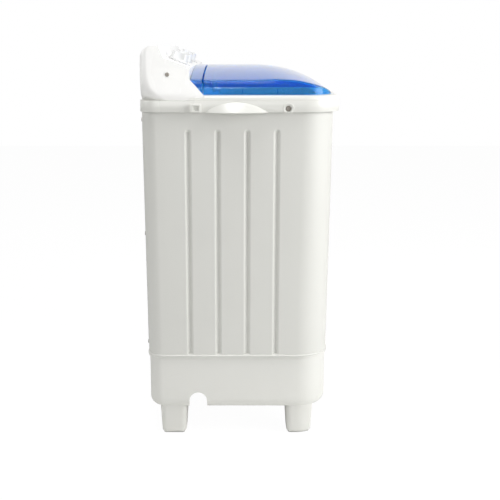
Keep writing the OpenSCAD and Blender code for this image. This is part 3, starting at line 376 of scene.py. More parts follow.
skirt_stops = [-110, -70, -30, 10, 45, NOTCH_Y - NOTCH_R - 0.2]
skirt_stops += [NOTCH_Y - NOTCH_R * math.cos(math.radians(a)) for a in range(0, 181, 6)]
skirt_stops += [NOTCH_Y + NOTCH_R + 0.2, 140, 162]
skirt_levels = [(Z_SKIRT + 1.5 * i * i / 6, 0) for i in range(0, 9)]
skirt_levels += [(z, 0) for z in (88, 92, 96, 100, 103.5, 110, 125, 145, 165, 180)]
skirt_levels += [(Z_BODY - 4.4, 0), (Z_BODY - 4, 0.4), (Z_BODY - 3.8, 2.6), (Z_BODY - 3.4, 3), (Z_BODY, 3)]
rows = []
for z, out in skirt_levels:
    rows.append([])
    for i, (x, y) in enumerate(skirt_row(z, out)):
        height = max(z, notch_low(x, y))
        rows[-1].append((*skirt_row(height, out)[i], height))
skirt = thicken(form("base", wrap(rows, False), satin_white), WALL)
plate = form("plate", tower(skirt_plan, [(Z_FLOOR, 2.5), (Z_FLOOR + FLOOR_T, 2.5)]), satin_white)
cut(plate, [round_rod(x, y, 100, 130, r) for x, y, r in FLOOR_HOLES])


def meet(outlines, middle, n=72):
    """The points where rays from the middle first meet any of several outlines round it."""
    found = []
    for i in range(n):
        dx, dy = polar(1, 360 * i / n)
        near = 1e9
        for line in outlines:
            for (ax, ay), (bx, by) in zip(line, line[1:] + line[:1]):
                ex, ey = bx - ax, by - ay
                turned = dx * ey - dy * ex
                if abs(turned) < 1e-9:
                    continue
                along = ((ax - middle[0]) * ey - (ay - middle[1]) * ex) / turned
                share = ((ax - middle[0]) * dy - (ay - middle[1]) * dx) / turned
                if along > 0 and -1e-6 <= share <= 1 + 1e-6:
                    near = min(near, along)
        found.append((middle[0] + near * dx, middle[1] + near * dy))
    return found


def foot_row(side, y0, z, drawn, corner, shell):
    """One outline of a foot: its box drawn in, cut off by the shell."""
    middle = (side * (SKIRT_X - FOOT_IN - FOOT_X / 2), y0 + FOOT_Y / 2)
    box = ring(FOOT_X / 2 - drawn, y0 + drawn, y0 + FOOT_Y - drawn, corner, corner, n=8)
    return [(x, y, z) for x, y in meet([[(x + middle[0], y) for x, y in box], shell], middle)]


def foot(side, y0):
    toes = [polar(FOOT_TOE, a) for a in range(0, 91, 15)]
    rows = []
    for z, toe in [(2 + FOOT_TOE - c, FOOT_TOE - s) for c, s in toes] + [(z, 0) for z in (20, 40, 55, 68, 92, 117)]:
        drawn = toe + FOOT_TAPER * max(0, (Z_SKIRT - z) / (Z_SKIRT - 2))
        inset = drawn + FOOT_IN if z <= Z_SKIRT else FOOT_IN - 2.5 * (z - Z_SKIRT) / 49
        rows.append(foot_row(side, y0, z, drawn, max(2, FOOT_R - drawn), skirt_plan(inset)))
    return form("foot", wrap(rows), satin_white)


fit(gather("base", [skirt, plate] + [foot(side, y0) for side in (-1, 1) for y0 in FOOT_PLACES]))


# Cabinet: a thin moulded wrapper in the same white plastic, drafted to the base, with a bead along its bottom edge
# and four long grooves in each side to stiffen it. It sits on the step round the base's top edge, and its back is
# open for the sheet metal panel.
Z_TOP = 762
CAB_X, CAB_FRONT, CAB_REAR, CAB_R, CAB_REAR_R = 353, -204.5, 214.5, 72, 34
DRAFT_SIDE, DRAFT_FRONT, DRAFT_REAR = 4, 6.5, 5
GROOVES, GROOVE_HALF, GROOVE_DEEP = (-78.5, -14.5, 49.5, 113.5), 8, 5.5
GROOVE_LOW, GROOVE_TOP = 195.2, 696
WINDOW_X, WINDOW_LOW, WINDOW_HIGH = 300, 220, 715
# Painted shade: the cabinet's white is set darker than the base's same plastic, for the shade on the machine's side.
shade_painted_white = moulding("shade_painted_cabinet_shell", (0.685, 0.685, 0.65, 1), 0.36, 0.25)


def lean(z):
    """The share of the draft at a height, 0 at the top."""
    return (Z_TOP - z) / (Z_TOP - Z_BODY)


def groove_at(y, z):
    """How deep a groove is at a place on the side."""
    off = min(math.hypot(y - g, max(0, z - GROOVE_TOP)) for g in GROOVES)
    share = max(0, 1 - off / GROOVE_HALF)
    end = min(1, max(0, (z - GROOVE_LOW) / 1.6))
    return GROOVE_DEEP * (1 - math.cos(math.pi * share)) / 2 * end


def cabinet_row(z, out):
    points = ring(CAB_X - DRAFT_SIDE * lean(z) + out, CAB_FRONT + DRAFT_FRONT * lean(z) - out,
                  CAB_REAR - DRAFT_REAR * lean(z) + out, CAB_R + out, CAB_REAR_R + out, side_stops,
                  (WINDOW_X, -WINDOW_X), 20)
    return [(x - math.copysign(groove_at(y, z), x) if abs(x) > 300 and -125 < y < 172 else x, y, z) for x, y in points]


def in_window(x, y, z):
    return y > 198 and abs(x) < WINDOW_X + 0.1 and WINDOW_LOW - 0.1 < z < WINDOW_HIGH + 0.1


side_stops = [-100] + [g + d for g in GROOVES for d in (-16, -9, *range(-8, 9), 9, 16)] + [150]
bead = ((0, 0.6), (0.5, 1.7), (1, 2), (3.2, 2), (3.8, 1.6), (4.2, 0.5), (4.6, 0), (5.2, 0), (5.9, 0), (6.8, 0), (9, 0))
groove_ends = (0, 5, 8, 9.2, 10.4, 11.5, 12.5, 13.5, 14.3, 15.1, 16, 18)
plain = [*range(220, 680, 35)] + [688 + d for d in groove_ends] + [730, 745, Z_TOP]
levels = [(Z_BODY + z, out) for z, out in bead] + [(z, 0) for z in plain]
points, faces = wrap([cabinet_row(z, out) for z, out in levels], False)
faces = [face for face in faces if not all(in_window(*points[i]) for i in face)]
cabinet = form("cabinet", (points, faces), shade_painted_white, 50)
fit(thicken(cabinet, WALL, 50))


# Top cover: one moulding that drops over the cabinet. An upright band grips the cabinet's top, a rolled shoulder
# rises to the deck, and the deck has the mouths of both tubs and the ears that the lids hang on.
Z_RIM, Z_BAND, Z_DECK = 740, 765, 776
RIM_X, RIM_Y, RIM_R, RIM_REAR_R, SHOULDER = 360, 217, 80, 36, 11
Y_FACE = 109
SPIN, SPIN_MOUTH = (190, -55), 104
SCREW_Y, SCREW_Z, SCREW_SINK, BOSS_N = -102, 748, 7, 48
AXIS_Y, AXIS_Z, EAR_R, EAR_HALF, EAR_OFF = 62, 815, 4, 2.5, 10.9
POSTS = (-200, -15, 62, 200)
GRIP_Y, GRIP_GAP = 9, 43
gloss_white = moulding("gloss_white_shell", (0.75, 0.75, 0.71, 1), 0.22, 0.1)


def rim(d):
    return ring(RIM_X - d, -RIM_Y + d, RIM_Y - d, RIM_R - d, RIM_REAR_R - d, (-100, 0, 100), (), 24)


def under_deck(d):
    return ring(RIM_X - 14, -RIM_Y + 14, Y_FACE - WALL, RIM_R - 14, 5)


def ring_between(x0, x1, y0, y1, r):
    return [(x + (x0 + x1) / 2, y) for x, y in ring((x1 - x0) / 2, y0, y1, r, r)]


def mouth(d):
    return ring_between(-318 - d, 2 + d, -170 - d, 48 + d, 40 + d)


def spin_mouth(d):
    return [polar(SPIN_MOUTH + d, 360 * i / 96, *SPIN) for i in range(96)]


def rod_x(x0, x1, y, z, r):
    """A closed cylinder along X."""
    return spun([(r, x0), (r, x1)], lambda a, b, h: (h, y + a, z + b), 32)


def block(low, high):
    (x0, y0, z0), (x1, y1, z1) = low, high
    return wrap([[(x0, y0, z), (x1, y0, z), (x1, y1, z), (x0, y1, z)] for z in (z0, z1)])


def prism_x(profile, x0, x1):
    """A closed solid with one (y, z) profile along X."""
    return wrap([[(x, y, z) for y, z in profile] for x in (x0, x1)])


def collar(outline, z0, z1):
    """A closed upright wall round the outline at inset 0."""
    outer, inner = outline(WALL), outline(0)
    n = len(outer)
    faces = []
    for i in range(n):
        j = (i + 1) % n
        faces += [(i, j, 2 * n + j, 2 * n + i), (n + j, n + i, 3 * n + i, 3 * n + j), (j, i, n + i, n + j),
                  (2 * n + i, 2 * n + j, 3 * n + j, 3 * n + i)]
    return [(x, y, z) for z in (z0, z1) for line in (outer, inner) for x, y in line], faces


def soften(made, width, angle=30, segments=2, crease=35):
    """Rounds an object's sharp edges."""
    edge = made.modifiers.new("edge", "BEVEL")
    edge.width, edge.segments = width / 1000, segments
    edge.limit_method, edge.angle_limit = "ANGLE", math.radians(angle)
    return settle(made, crease)


def ear(x):
    """One ear: a web from the deck that ends round about the hinge pin."""
    web = [(AXIS_Y - 7, Z_DECK - 1), (AXIS_Y + 1.5, Z_DECK - 1)]
    web += [polar(EAR_R, a, AXIS_Y, AXIS_Z) for a in range(-22, 203, 15)] + [(AXIS_Y - 4.6, Z_DECK + 12)]
    return soften(form("ear", prism_x(web, x - EAR_HALF, x + EAR_HALF), gloss_white), 0.6)


def boss(side):
    """The raised ring round a sunk screw in the band."""
    rows = []
    for x, r in ((353.2, 12), (360.2, 12), (360.9, 11.4), (360.9, 8.2), (360.2, 7), (356, 7), (356, 2.5), (353.2, 2.5)):
        circle = [polar(r, 360 * i / BOSS_N, SCREW_Y, SCREW_Z) for i in range(BOSS_N)]
        rows.append([(side * x, y, max(Z_RIM + 0.2, z)) for y, z in circle])
    return form("boss", wrap(rows + rows[:1], False), gloss_white)


rim_levels = [(Z_RIM, 0.9), (Z_RIM + 0.3, 0.35), (Z_RIM + 0.9, 0), (Z_RIM + 12, 0), (Z_BAND - 1.6, 0),
              (Z_BAND - 1.0, 0.25),
              (Z_BAND - 0.7, 0.9), (Z_BAND - 0.4, 0.9), (Z_BAND, 0.5)]
for a in range(12, 91, 13):
    c, s = polar(1, a)
    rim_levels.append((Z_BAND + SHOULDER * s, 0.5 + (SHOULDER - 0.5) * (1 - c)))
cover = form("top_cover", tower(rim, rim_levels), gloss_white)
lip = [(Z_BAND - 5, 0), (Z_DECK - 2.2, 0), (Z_DECK - 1.2, 0.3), (Z_DECK - 0.4, 1.1), (Z_DECK + 0.4, 2.6)]
tools = [tower(rim, [(Z_RIM - 5, WALL), (Z_BAND - WALL, WALL)]),
         tower(under_deck, [(Z_BAND - 4, 0), (Z_DECK - WALL, 0)]),
         block((-400, Y_FACE, Z_BAND), (400, 250, Z_DECK + 5)), tower(mouth, lip), tower(spin_mouth, lip),
         round_rod(-250, 136, Z_BAND - 5, Z_BAND + 3, 14)]
for side in (-1, 1):
    x0, x1 = sorted((side * 352, side * 361))
    tools += [rod_x(side * 340, side * 361, SCREW_Y, SCREW_Z, SCREW_SINK),
              block((x0, GRIP_Y - GRIP_GAP, Z_RIM - 2), (x1, GRIP_Y + GRIP_GAP, Z_RIM + 11))]
cut(cover, tools)
parts = [cover] + [form("wall", collar(outline, Z_BAND - WALL, Z_DECK - 1), gloss_white)
                   for outline in (mouth, spin_mouth)]
parts += [ear(x + side * EAR_OFF) for x in POSTS for side in (-1, 1)] + [boss(-1), boss(1)]
fit(gather("top_cover", parts))


# Side grips: two hoods of the cover's white plastic, moulded on its band at the middle of each side. They are open
# below, where hands go under to carry the machine.
GRIP_HALF, GRIP_HIGH, GRIP_OUT = 67, 21, 18


def grid(rows):
    """Points and faces of an open sheet through rows that have the same count."""
    n = len(rows[0])
    faces = [(k * n + i, k * n + i + 1, k * n + n + i + 1, k * n + n + i) for k in range(len(rows) - 1)
             for i in range(n - 1)]
    return [p for row in rows for p in row], faces


def hood(side):
    """A cap of a ball that stands out from the band, from the band's bottom edge up to where it meets the wall."""
    flat_r = (GRIP_HALF ** 2 + GRIP_HIGH ** 2) / (2 * GRIP_HIGH)
    low_z = Z_RIM + GRIP_HIGH - flat_r
    plan_r = (GRIP_HALF ** 2 + GRIP_OUT ** 2) / (2 * GRIP_OUT)
    ball = math.hypot(flat_r, plan_r - GRIP_OUT)
    middle_x = RIM_X + GRIP_OUT - plan_r
    rows = []
    for k in range(25):
        rows.append([])
        for i in range(65):
            y = GRIP_HALF * math.sin(math.pi / 2 * (i / 32 - 1)) * 0.9995
            top = low_z + math.sqrt(flat_r ** 2 - y ** 2)
            z = Z_RIM + (top - Z_RIM) * math.sin(math.pi / 2 * k / 24)
            x = middle_x + math.sqrt(max(0, ball ** 2 - y ** 2 - (z - low_z) ** 2))
            rows[-1].append((side * max(x, RIM_X - 0.05), GRIP_Y + y, z))
    points, faces = grid(rows)
    if side < 0:
        faces = [tuple(reversed(f)) for f in faces]
    return thicken(form("hood", (points, faces), gloss_white, keep=True), WALL, 50)


fit(gather("side_grips", [hood(1), hood(-1)]))


# Hose hook socket: a small square box of white plastic, moulded on the left of the band. Its pocket takes the hook
# that holds the hose up.
socket = form("hose_hook_socket", block((-367, 84, 740), (-360, 108, 758)), gloss_white)
cut(socket, [block((-369, 89, 744), (-362, 101, 754))])
fit(soften(socket, 0.9, segments=3))


# Console: a hollow moulding along the back with two leaning cheeks and a sloping face for the controls.
# It is screwed down through the cheeks, and its round rear corners run into the cheeks along a curved crease.
Z_TOP_C, FACE_Z, FACE_LONG, TILT = 878, 832, 60, math.radians(21)
CONSOLE_BACK, CONSOLE_X, RIDGE_R, RIDGE_RUN, CHEEK_LEAN = 215.5, 358, 26, 14, 10
FAIRING_X, FAIRING_HIGH, Y_SEAM = 348.4, 33, 79
KNOB_X, KNOB_S, SPINDLE_HOLE = (-205, -15, 175), 35, 5.2
SLIDER_X, SLIDER_TRAVEL = 68, 24
CHEEK_Y, CHEEK_Z, CHEEK_HOLE = 156, 819, 2.4
# Painted light: the console's white is set much lighter than the cover's same plastic, for the light on its leaning
# cheeks.
light_painted_white = moulding("light_painted_white_shell", (0.93, 0.927, 0.91, 1), 0.22, 0.1)


def side_profile(d):
    """The console from the side, drawn in by d."""
    def under(y):
        return y, FACE_Z + (y - Y_FACE) * math.tan(TILT) - d / math.cos(TILT)
    ridge = [polar(RIDGE_R - d, a, CONSOLE_BACK - RIDGE_R, Z_TOP_C - RIDGE_R) for a in range(0, 91, 6)]
    return [(Y_FACE + d, Z_BAND), (CONSOLE_BACK - d, Z_BAND)] + ridge + [
        (CONSOLE_BACK - RIDGE_R - RIDGE_RUN, Z_TOP_C - d), under(Y_FACE + FACE_LONG * math.cos(TILT) + d / 2),
        under(Y_FACE + d)]


def cheek_x(z):
    """Where the cheek stands at a height: upright at the band, then leaning in."""
    up = max(0, z - Z_BAND - 5)
    return CONSOLE_X - math.tan(math.radians(CHEEK_LEAN)) * (up ** 2 / 40 if up < 20 else up - 10)


def rear_round(z):
    """The radius of the rear corner, which flares out above the band and again a little at the top."""
    return 16 + 50 * math.exp((Z_BAND - z) / 18) + 8 * max(0, (z - 862) / 16) ** 2


def plan_solid(d):
    levels = [Z_BAND - 1 + i * 2.5 for i in range(16)] + [*range(803, 882, 6)]
    rows = []
    for z in levels:
        plan = ring(cheek_x(z) - d, Y_SEAM - 20, CONSOLE_BACK - d, 5, rear_round(z) - d * 0.6, n=24)
        rows.append([(x, y, z) for x, y in plan])
    return wrap(rows)


def console_solid(d):
    """Side profile and flared plan met in one solid."""
    made = form("console", prism_x(side_profile(d), -RIM_X, RIM_X), light_painted_white)
    return cut(made, [plan_solid(d)], "INTERSECT", 28)


def fairing(side):
    """The nose of the cheek, which runs down to the deck beside the hinge strip."""
    top, foot = Z_DECK + FAIRING_HIGH, Z_BAND + 0.5
    slope = [(Y_SEAM, Z_DECK), (Y_FACE, top), (Y_FACE + 6, top), (Y_FACE + 6, foot), (Y_SEAM, foot)]
    made = form("fairing", prism_x(slope, *sorted((side * FAIRING_X, side * 362))), light_painted_white)
    return cut(made, [plan_solid(0)], "INTERSECT", 28)


def on_face(x, s, out):
    """A point over the control face, s up its slope and out from it."""
    return x, Y_FACE + s * math.cos(TILT) - out * math.sin(TILT), FACE_Z + s * math.sin(TILT) + out * math.cos(TILT)


def face_place(x):
    """Places things about the axis of a knob at x."""
    return lambda a, b, h: on_face(x + a, KNOB_S + b, h)


def face_block(x0, x1, s0, s1, out0, out1):
    return wrap([[on_face(x, s, out) for x, s in ((x0, s0), (x1, s0), (x1, s1), (x0, s1))] for out in (out0, out1)])


console = cut(console_solid(0), [fairing(-1), fairing(1)], "UNION", 28)
soften(console, 3.2, 20, 4, 40)
tools = [console_solid(WALL), block((-300, Y_FACE + 9, Z_BAND - 5), (300, CONSOLE_BACK - 30, Z_BAND + 4)),
         block((-285, CONSOLE_BACK - 10, 779), (285, CONSOLE_BACK + 5, 848)),
         face_block(SLIDER_X - 3, SLIDER_X + SLIDER_TRAVEL + 3, KNOB_S - 2.5, KNOB_S + 2.5, -10, 5)]
tools += [spun([(SPINDLE_HOLE, -10), (SPINDLE_HOLE, 10)], face_place(x), 40) for x in KNOB_X]
tools += [rod_x(side * 335, side * 365, CHEEK_Y, CHEEK_Z, CHEEK_HOLE) for side in (-1, 1)]
fit(cut(console, tools, crease=32))


# Hinge strip and lids: skins of clear blue acrylic on one crowned form. A wall stands round each edge with a small
# step along it, the skin rolls over into a low crown, and towards the front it sweeps down to a thin nose. The strip
# is fixed to the deck behind the lids, which hang on steel pins in the deck's ears.
LID_X, LID_FRONT, LID_LONG, LID_HIGH, LID_CORNER = 348, -199, 278, 57, 66
EDGE_SHARE, NOSE_SHARE, NOSE_RUN, NOSE_BLEND, NOSE_MIN, NOSE_SOLID = 0.54, 0.66, 165, 90, 2, 5.5
LID_FOOT, STRIP_FOOT, STEP_Z, STEP_IN, ROLL, SPLIT_X, ACRYLIC = 0.6, 0.2, 791, 1.2, 3, 30, 2.6
NOSE_STEPS = (0, 0.7, 1.6, 3, 5, 7.5, 10.5, 14, 18, 23, 29, 36, 44, 53, 62, LID_CORNER, 74, 84, 95, 107, 120, 134, 149,
              NOSE_RUN)
STRIP_STEPS = (307.5, 303, 297, 290, 283, 281.5)
RIB_Y, RIB_IN, LUG_HALF, LUG_R, LUG_WEB = (-4, -79), 3.4, 8, 5, 3


def clear_blue():
    """Tinted acrylic: deep blue where light passes, polished, faintly wiped; the foot below the step is painted paler
    for the light of the white deck behind it, and the step carries a painted highlight line.
    """
    made = Finish("clear_blue_acrylic", IOR=1.33, Transmission_Weight=0.86)
    z = made.height()
    deep = made.blend(made.noise(7, 3).rise(0.3, 0.7), (0.004, 0.31, 0.86, 1), (0.006, 0.34, 0.9, 1))
    # Painted light: below the step the skin is painted a paler blue for the light that comes through it from the white
    # deck.
    skin = made.blend(z.rise(0.789, 0.7915), (0.08, 0.58, 1, 1), deep)
    # Painted highlight: a thin bright line along the step.
    line = z.rise(0.79, 0.7906) * (1 - z.rise(0.7912, 0.7918))
    made.paint(Base_Color=made.blend(line * 0.75, skin, (0.2, 0.95, 1, 1)))
    scratch = made.streaks((300, 26, 120), 5, 0.7)
    made.paint(Roughness=0.04 + scratch.rise(0.55, 0.75) * 0.1 + made.noise(60, 3) * 0.05)
    made.paint(Normal=made.bump(made.noise(9, 2), 0.1, 0.0008))
    return made.material


blue_acrylic = clear_blue()


def side_x(s):
    """Half the width of a lid at a distance s from its front."""
    if s >= LID_CORNER:
        return LID_X
    return LID_X - LID_CORNER + math.sqrt(max(0, LID_CORNER ** 2 - (LID_CORNER - s) ** 2))


def skin_z(x, s):
    """The height of the skin: a sweep up from the nose, with a low arch across the machine."""
    nose = LID_HIGH if s >= NOSE_RUN else NOSE_MIN + (LID_HIGH - NOSE_MIN) * (1 - (1 - s / NOSE_RUN) ** 2) ** 0.7
    share = EDGE_SHARE + (NOSE_SHARE - EDGE_SHARE) * max(0, min(1, (NOSE_RUN - s) / NOSE_BLEND))
    return Z_DECK + nose * (1 - (1 - share) * (x / LID_X) ** 2)


def wall_column(edge, inward, s, low, d):
    """The wall at an edge, from its foot to the roll over into the skin; inward is +1 or -1 along X."""
    top = skin_z(edge, s) - d
    roll = min(ROLL, (top - low) * 0.4)
    face = edge + inward * STEP_IN
    middle = (STEP_Z + 3 + top - roll) / 2 if top - roll > STEP_Z + 3 else top - roll * 0.9
    column = [(edge, low), (edge, min(STEP_Z - 0.7, top - roll)), (face, min(STEP_Z + 0.5, top - roll * 0.95)),
              (face, middle)]
    for a in (0, 22, 45, 68, 90):
        c, s90 = polar(1, a)
        x = edge + inward * (STEP_IN + roll * (1 - c))
        column.append((x, skin_z(x, s) - d - roll * (1 - s90) * 0.9))
    return column


def lid_row(s, left, right, low, d):
    """One cross-section: up the left wall, over the skin and down the right wall."""
    first = wall_column(left + d, 1, s, low, d)
    last = wall_column(right - d, -1, s, low, d)
    x0, x1 = first[-1][0], last[-1][0]
    across = [x0 + (x1 - x0) * i / 36 for i in range(1, 36)]
    return [(x, LID_FRONT + s, z) for x, z in first + [(x, skin_z(x, s) - d) for x in across] + last[::-1]]


def moulded(name, outer, inner, low, side):
    """A closed shell between an outer and an inner sheet that start at a height low, mirrored to its side."""
    outer, inner = [[[(x, y, low) for x, y, z in rows[0]]] + rows for rows in (outer, inner)]
    m, n = len(outer), len(outer[0])
    points = [(x * side, y, z) for rows in (outer, inner) for row in rows for x, y, z in row]
    faces = []
    for k in range(m - 1):
        for i in range(n - 1):
            a = k * n + i
            faces += [(a, a + 1, a + n + 1, a + n), (m * n + a, m * n + a + n, m * n + a + n + 1, m * n + a + 1)]
    border = [(0, i) for i in range(n)] + [(k, n - 1) for k in range(1, m)]
    border += [(m - 1, i) for i in range(n - 2, -1, -1)] + [(k, 0) for k in range(m - 2, 0, -1)]
    for (k0, i0), (k1, i1) in zip(border, border[1:] + border[:1]):
        a, b = k0 * n + i0, k1 * n + i1
        faces.append((b, a, m * n + a, m * n + b))
    return form(name, (points, faces), blue_acrylic, 40)


def lid(name, inner_edge, posts, side):
    """A lid on the left side, or mirrored to the right, with its hinge bosses and ribs."""
    steps = [*NOSE_STEPS, *range(180, 271, 15), LID_LONG]
    low = Z_DECK + LID_FOOT
    outer = [lid_row(s, -side_x(s), inner_edge, low, 0) for s in steps]
    inner = [lid_row(NOSE_SOLID + s * (LID_LONG - NOSE_SOLID) / LID_LONG, -side_x(NOSE_SOLID + s), inner_edge, low,
                     ACRYLIC)
             for s in steps]
    solids = []
    for x in posts:
        x0, x1 = x - LUG_HALF, x + LUG_HALF
        solids += [rod_x(x0, x1, AXIS_Y, AXIS_Z, LUG_R),
                   block((x0, AXIS_Y - LUG_WEB, AXIS_Z), (x1, AXIS_Y + LUG_WEB, skin_z(x, LID_LONG) - 1.5))]
    x = -side * (LID_X - RIB_IN)
    solids += [block((x - 1.1, y - 1, Z_DECK + 1), (x + 1.1, y + 1, STEP_Z - 2)) for y in RIB_Y]
    return gather(name, [moulded(name, outer, inner, low, side)] + [form("boss", s, blue_acrylic) for s in solids])


fit(lid("wash_lid", SPLIT_X - 1, POSTS[:2], 1), "wash_lid")
fit(lid("spin_lid", -SPLIT_X - 1, POSTS[2:], -1), "spin_lid")
low = Z_DECK + STRIP_FOOT
outer = [lid_row(s, -LID_X, LID_X, low, 0) for s in STRIP_STEPS]
inner = [lid_row(min(s, STRIP_STEPS[0] - ACRYLIC), -LID_X, LID_X, low, ACRYLIC) for s in STRIP_STEPS]
fit(moulded("hinge_strip", outer, inner, low, 1))


# Screws: pan heads of plated steel with a cross recess. One on each side holds the top cover to the cabinet, one the
# console's cheek, and six hold the back panel.
CHEEK_SCREW_X, BAND_SCREW_X, PANEL_SCREW_X, PANEL_SCREW_Z = 351.5, 356, 306, (214, 467.5, 721)


def steel(name, tint, rough):
    """Plated or bright steel with fine turning lines and a little tarnish."""
    made = Finish(name, Metallic=1.0)
    tarnish, lines = made.noise(40, 4), made.streaks((60, 60, 2400), 3)
    made.paint(Base_Color=made.blend(tarnish.rise(0.45, 0.8) * 0.5, tint, [c * 0.72 for c in tint[:3]] + [1]))
    made.paint(Roughness=rough + tarnish * 0.15 + lines * 0.08, Normal=made.bump(lines, 0.1, 0.0002))
    return made.material


# Painted shade: the plated steel's tint is set dark for the shade in the screws' deep recesses; its brownish cast is
# the steel's own.
shade_darkened_steel = steel("shade_darkened_steel", (0.3, 0.28, 0.25, 1), 0.42)


def set_down_nodes():
    """Sets a piece down at every place, turned as the place says and by a chance of its own about its axis."""
    tree = bpy.data.node_groups.new("set_down", "GeometryNodeTree")
    for name, kind in (("Places", "Geometry"), ("Piece", "Object"), ("Chance", "Int"), ("Spin", "Float"),
                       ("Finish", "Material")):
        tree.interface.new_socket(name, in_out="INPUT", socket_type="NodeSocket" + kind)
    tree.interface.new_socket("Geometry", in_out="OUTPUT", socket_type="NodeSocketGeometry")
    kinds = ("NodeGroupInput", "NodeGroupOutput", "GeometryNodeObjectInfo", "GeometryNodeInputNamedAttribute",
             "FunctionNodeEulerToRotation", "GeometryNodeInstanceOnPoints", "FunctionNodeRandomValue",
             "ShaderNodeCombineXYZ",
             "FunctionNodeEulerToRotation", "GeometryNodeRotateInstances", "GeometryNodeRealizeInstances",
             "GeometryNodeSetMaterial")
    nodes = [tree.nodes.new(kind) for kind in kinds]
    start, end, piece, turn, facing, lay, chance, about, about_turn, spin, real, coat = nodes
    turn.data_type = "FLOAT_VECTOR"
    turn.inputs["Name"].default_value = "turn"
    chance_max = [s for s in chance.inputs if s.name == "Max" and s.type == "VALUE"][0]
    chance_out = [s for s in chance.outputs if s.type == "VALUE"][0]
    for a, b in ((start.outputs["Places"], lay.inputs["Points"]), (start.outputs["Piece"], piece.inputs["Object"]),
                 (piece.outputs["Geometry"], lay.inputs["Instance"]),
                 (turn.outputs["Attribute"], facing.inputs["Euler"]),
                 (facing.outputs["Rotation"], lay.inputs["Rotation"]), (start.outputs["Chance"], chance.inputs["Seed"]),
                 (start.outputs["Spin"], chance_max), (chance_out, about.inputs["Z"]),
                 (about.outputs["Vector"], about_turn.inputs["Euler"]),
                 (about_turn.outputs["Rotation"], spin.inputs["Rotation"]),
                 (lay.outputs["Instances"], spin.inputs["Instances"]),
                 (spin.outputs["Instances"], real.inputs["Geometry"]),
                 (real.outputs["Geometry"], coat.inputs["Geometry"]),
                 (start.outputs["Finish"], coat.inputs["Material"]),
                 (coat.outputs["Geometry"], end.inputs["Geometry"])):
        tree.links.new(a, b)
    return tree


set_down = set_down_nodes()


def repeat(name, piece, places, finish, spin=0.0, chance=1, crease=35):
    """One mesh with a copy of a solid or object at every (point, axis, up); the piece itself is used up."""
    if isinstance(piece, tuple):
        piece = form("piece", piece, finish)
    mesh = bpy.data.meshes.new(name)
    mesh.from_pydata([[c / 1000 for c in point] for point, axis, up in places], [], [])
    turns = mesh.attributes.new("turn", "FLOAT_VECTOR", "POINT")
    for item, (point, axis, up) in zip(turns.data, places):
        along = Vector(axis).normalized()
        across = Vector(up).cross(along).normalized()
        item.vector = Matrix((across, along.cross(across), along)).transposed().to_euler()
    made = add(name, mesh)
    work = made.modifiers.new("set_down", "NODES")
    work.node_group = set_down
    values = {"Piece": piece, "Chance": chance, "Spin": spin, "Finish": finish}
    for item in set_down.interface.items_tree:
        if item.item_type == "SOCKET" and item.in_out == "INPUT" and item.name in values:
            work[item.identifier] = values[item.name]
    settle(made, crease)
    bpy.data.objects.remove(piece)
    return made


def screw(radius, high, shank, long):
    """A pan head screw that stands at the origin, with a cross recess and its shank below."""
    profile = [(0.01, -long), (shank * 0.5, -long), (shank, -long + 1), (shank, 0), (radius * 0.96, 0),
               (radius, high * 0.15)]
    dome = [polar(1, a) for a in range(0, 91, 18)]
    profile += [(radius * (0.55 + 0.45 * c), high * (0.3 + 0.7 * s)) for c, s in dome] + [(0.01, high)]
    wide, thin = radius * 0.62, radius * 0.13
    slots = [block((-a, -b, high * 0.4), (a, b, high + 1)) for a, b in ((wide, thin), (thin, wide))]
    return cut(form("screw", spun(profile, upright(0, 0), 32), shade_darkened_steel), slots)


def side_screws(name, piece, x, y, z, chance):
    """The same screw in the left and the right side."""
    return repeat(name, piece, [((side * x, y, z), (side, 0, 0), (0, 0, 1)) for side in (-1, 1)], shade_darkened_steel, 3.1,
                  chance)


def back_y(z):
    return CAB_REAR - DRAFT_REAR * lean(z)


band_screws = side_screws("band_screws", screw(5.5, 2.5, 2.2, 15), BAND_SCREW_X, SCREW_Y, SCREW_Z, 4)
cheek_screws = side_screws("cheek_screws", screw(4.6, 1.6, 2.2, 16), CHEEK_SCREW_X, CHEEK_Y, CHEEK_Z, 7)
fit(gather("shell_screws", [band_screws, cheek_screws]))
places = [((x, back_y(z + 5) + 1.2, z), (0, 1, 0), (0, 0, 1)) for x in (-PANEL_SCREW_X, PANEL_SCREW_X)
          for z in PANEL_SCREW_Z]
fit(repeat("back_panel_screws", screw(5, 1.4, 2.2, 1), places, shade_darkened_steel, 3.1, 11))


# Back panel: painted sheet steel that closes the cabinet's open back, screwed on at both edges. Two banks of louvres
# are pressed out of it for the motors' air, and a grommet of black plastic is sprung into the hole for the cord.
PANEL_W, PANEL_LOW, PANEL_HIGH, SHEET = 312, 208, 727, 1.2
LOUVRES = [(x, 260 + 20 * i) for x in (-170, 170) for i in range(7)]
LOUVRE_HALF, LOUVRE_FLAT, LOUVRE_HIGH, LOUVRE_OUT, LOUVRE_WALL = 62, 50, 9.5, 3.9, 0.8
GLAND_X, GLAND_Z, GLAND_HOLE = -200, 240, 9


def sheet_paint():
    """Baked grey paint on sheet: a faint orange peel, scuffed at random and dusty."""
    made = Finish("painted_sheet", IOR=1.5)
    scuff = made.streaks((9, 9, 90), 4, 0.65)
    dust = made.noise(14, 5) * (1 - made.height().rise(0.2, 0.5))
    coat = made.blend(scuff.rise(0.58, 0.75) * 0.4, (0.6, 0.61, 0.61, 1), (0.5, 0.51, 0.52, 1))
    made.paint(Base_Color=made.blend(dust * 0.35, coat, (0.46, 0.44, 0.41, 1)))
    made.paint(Roughness=0.36 + scuff * 0.14 + dust * 0.2)
    made.paint(Normal=made.bump(made.noise(420, 2), 0.16, 0.0003))
    return made.material


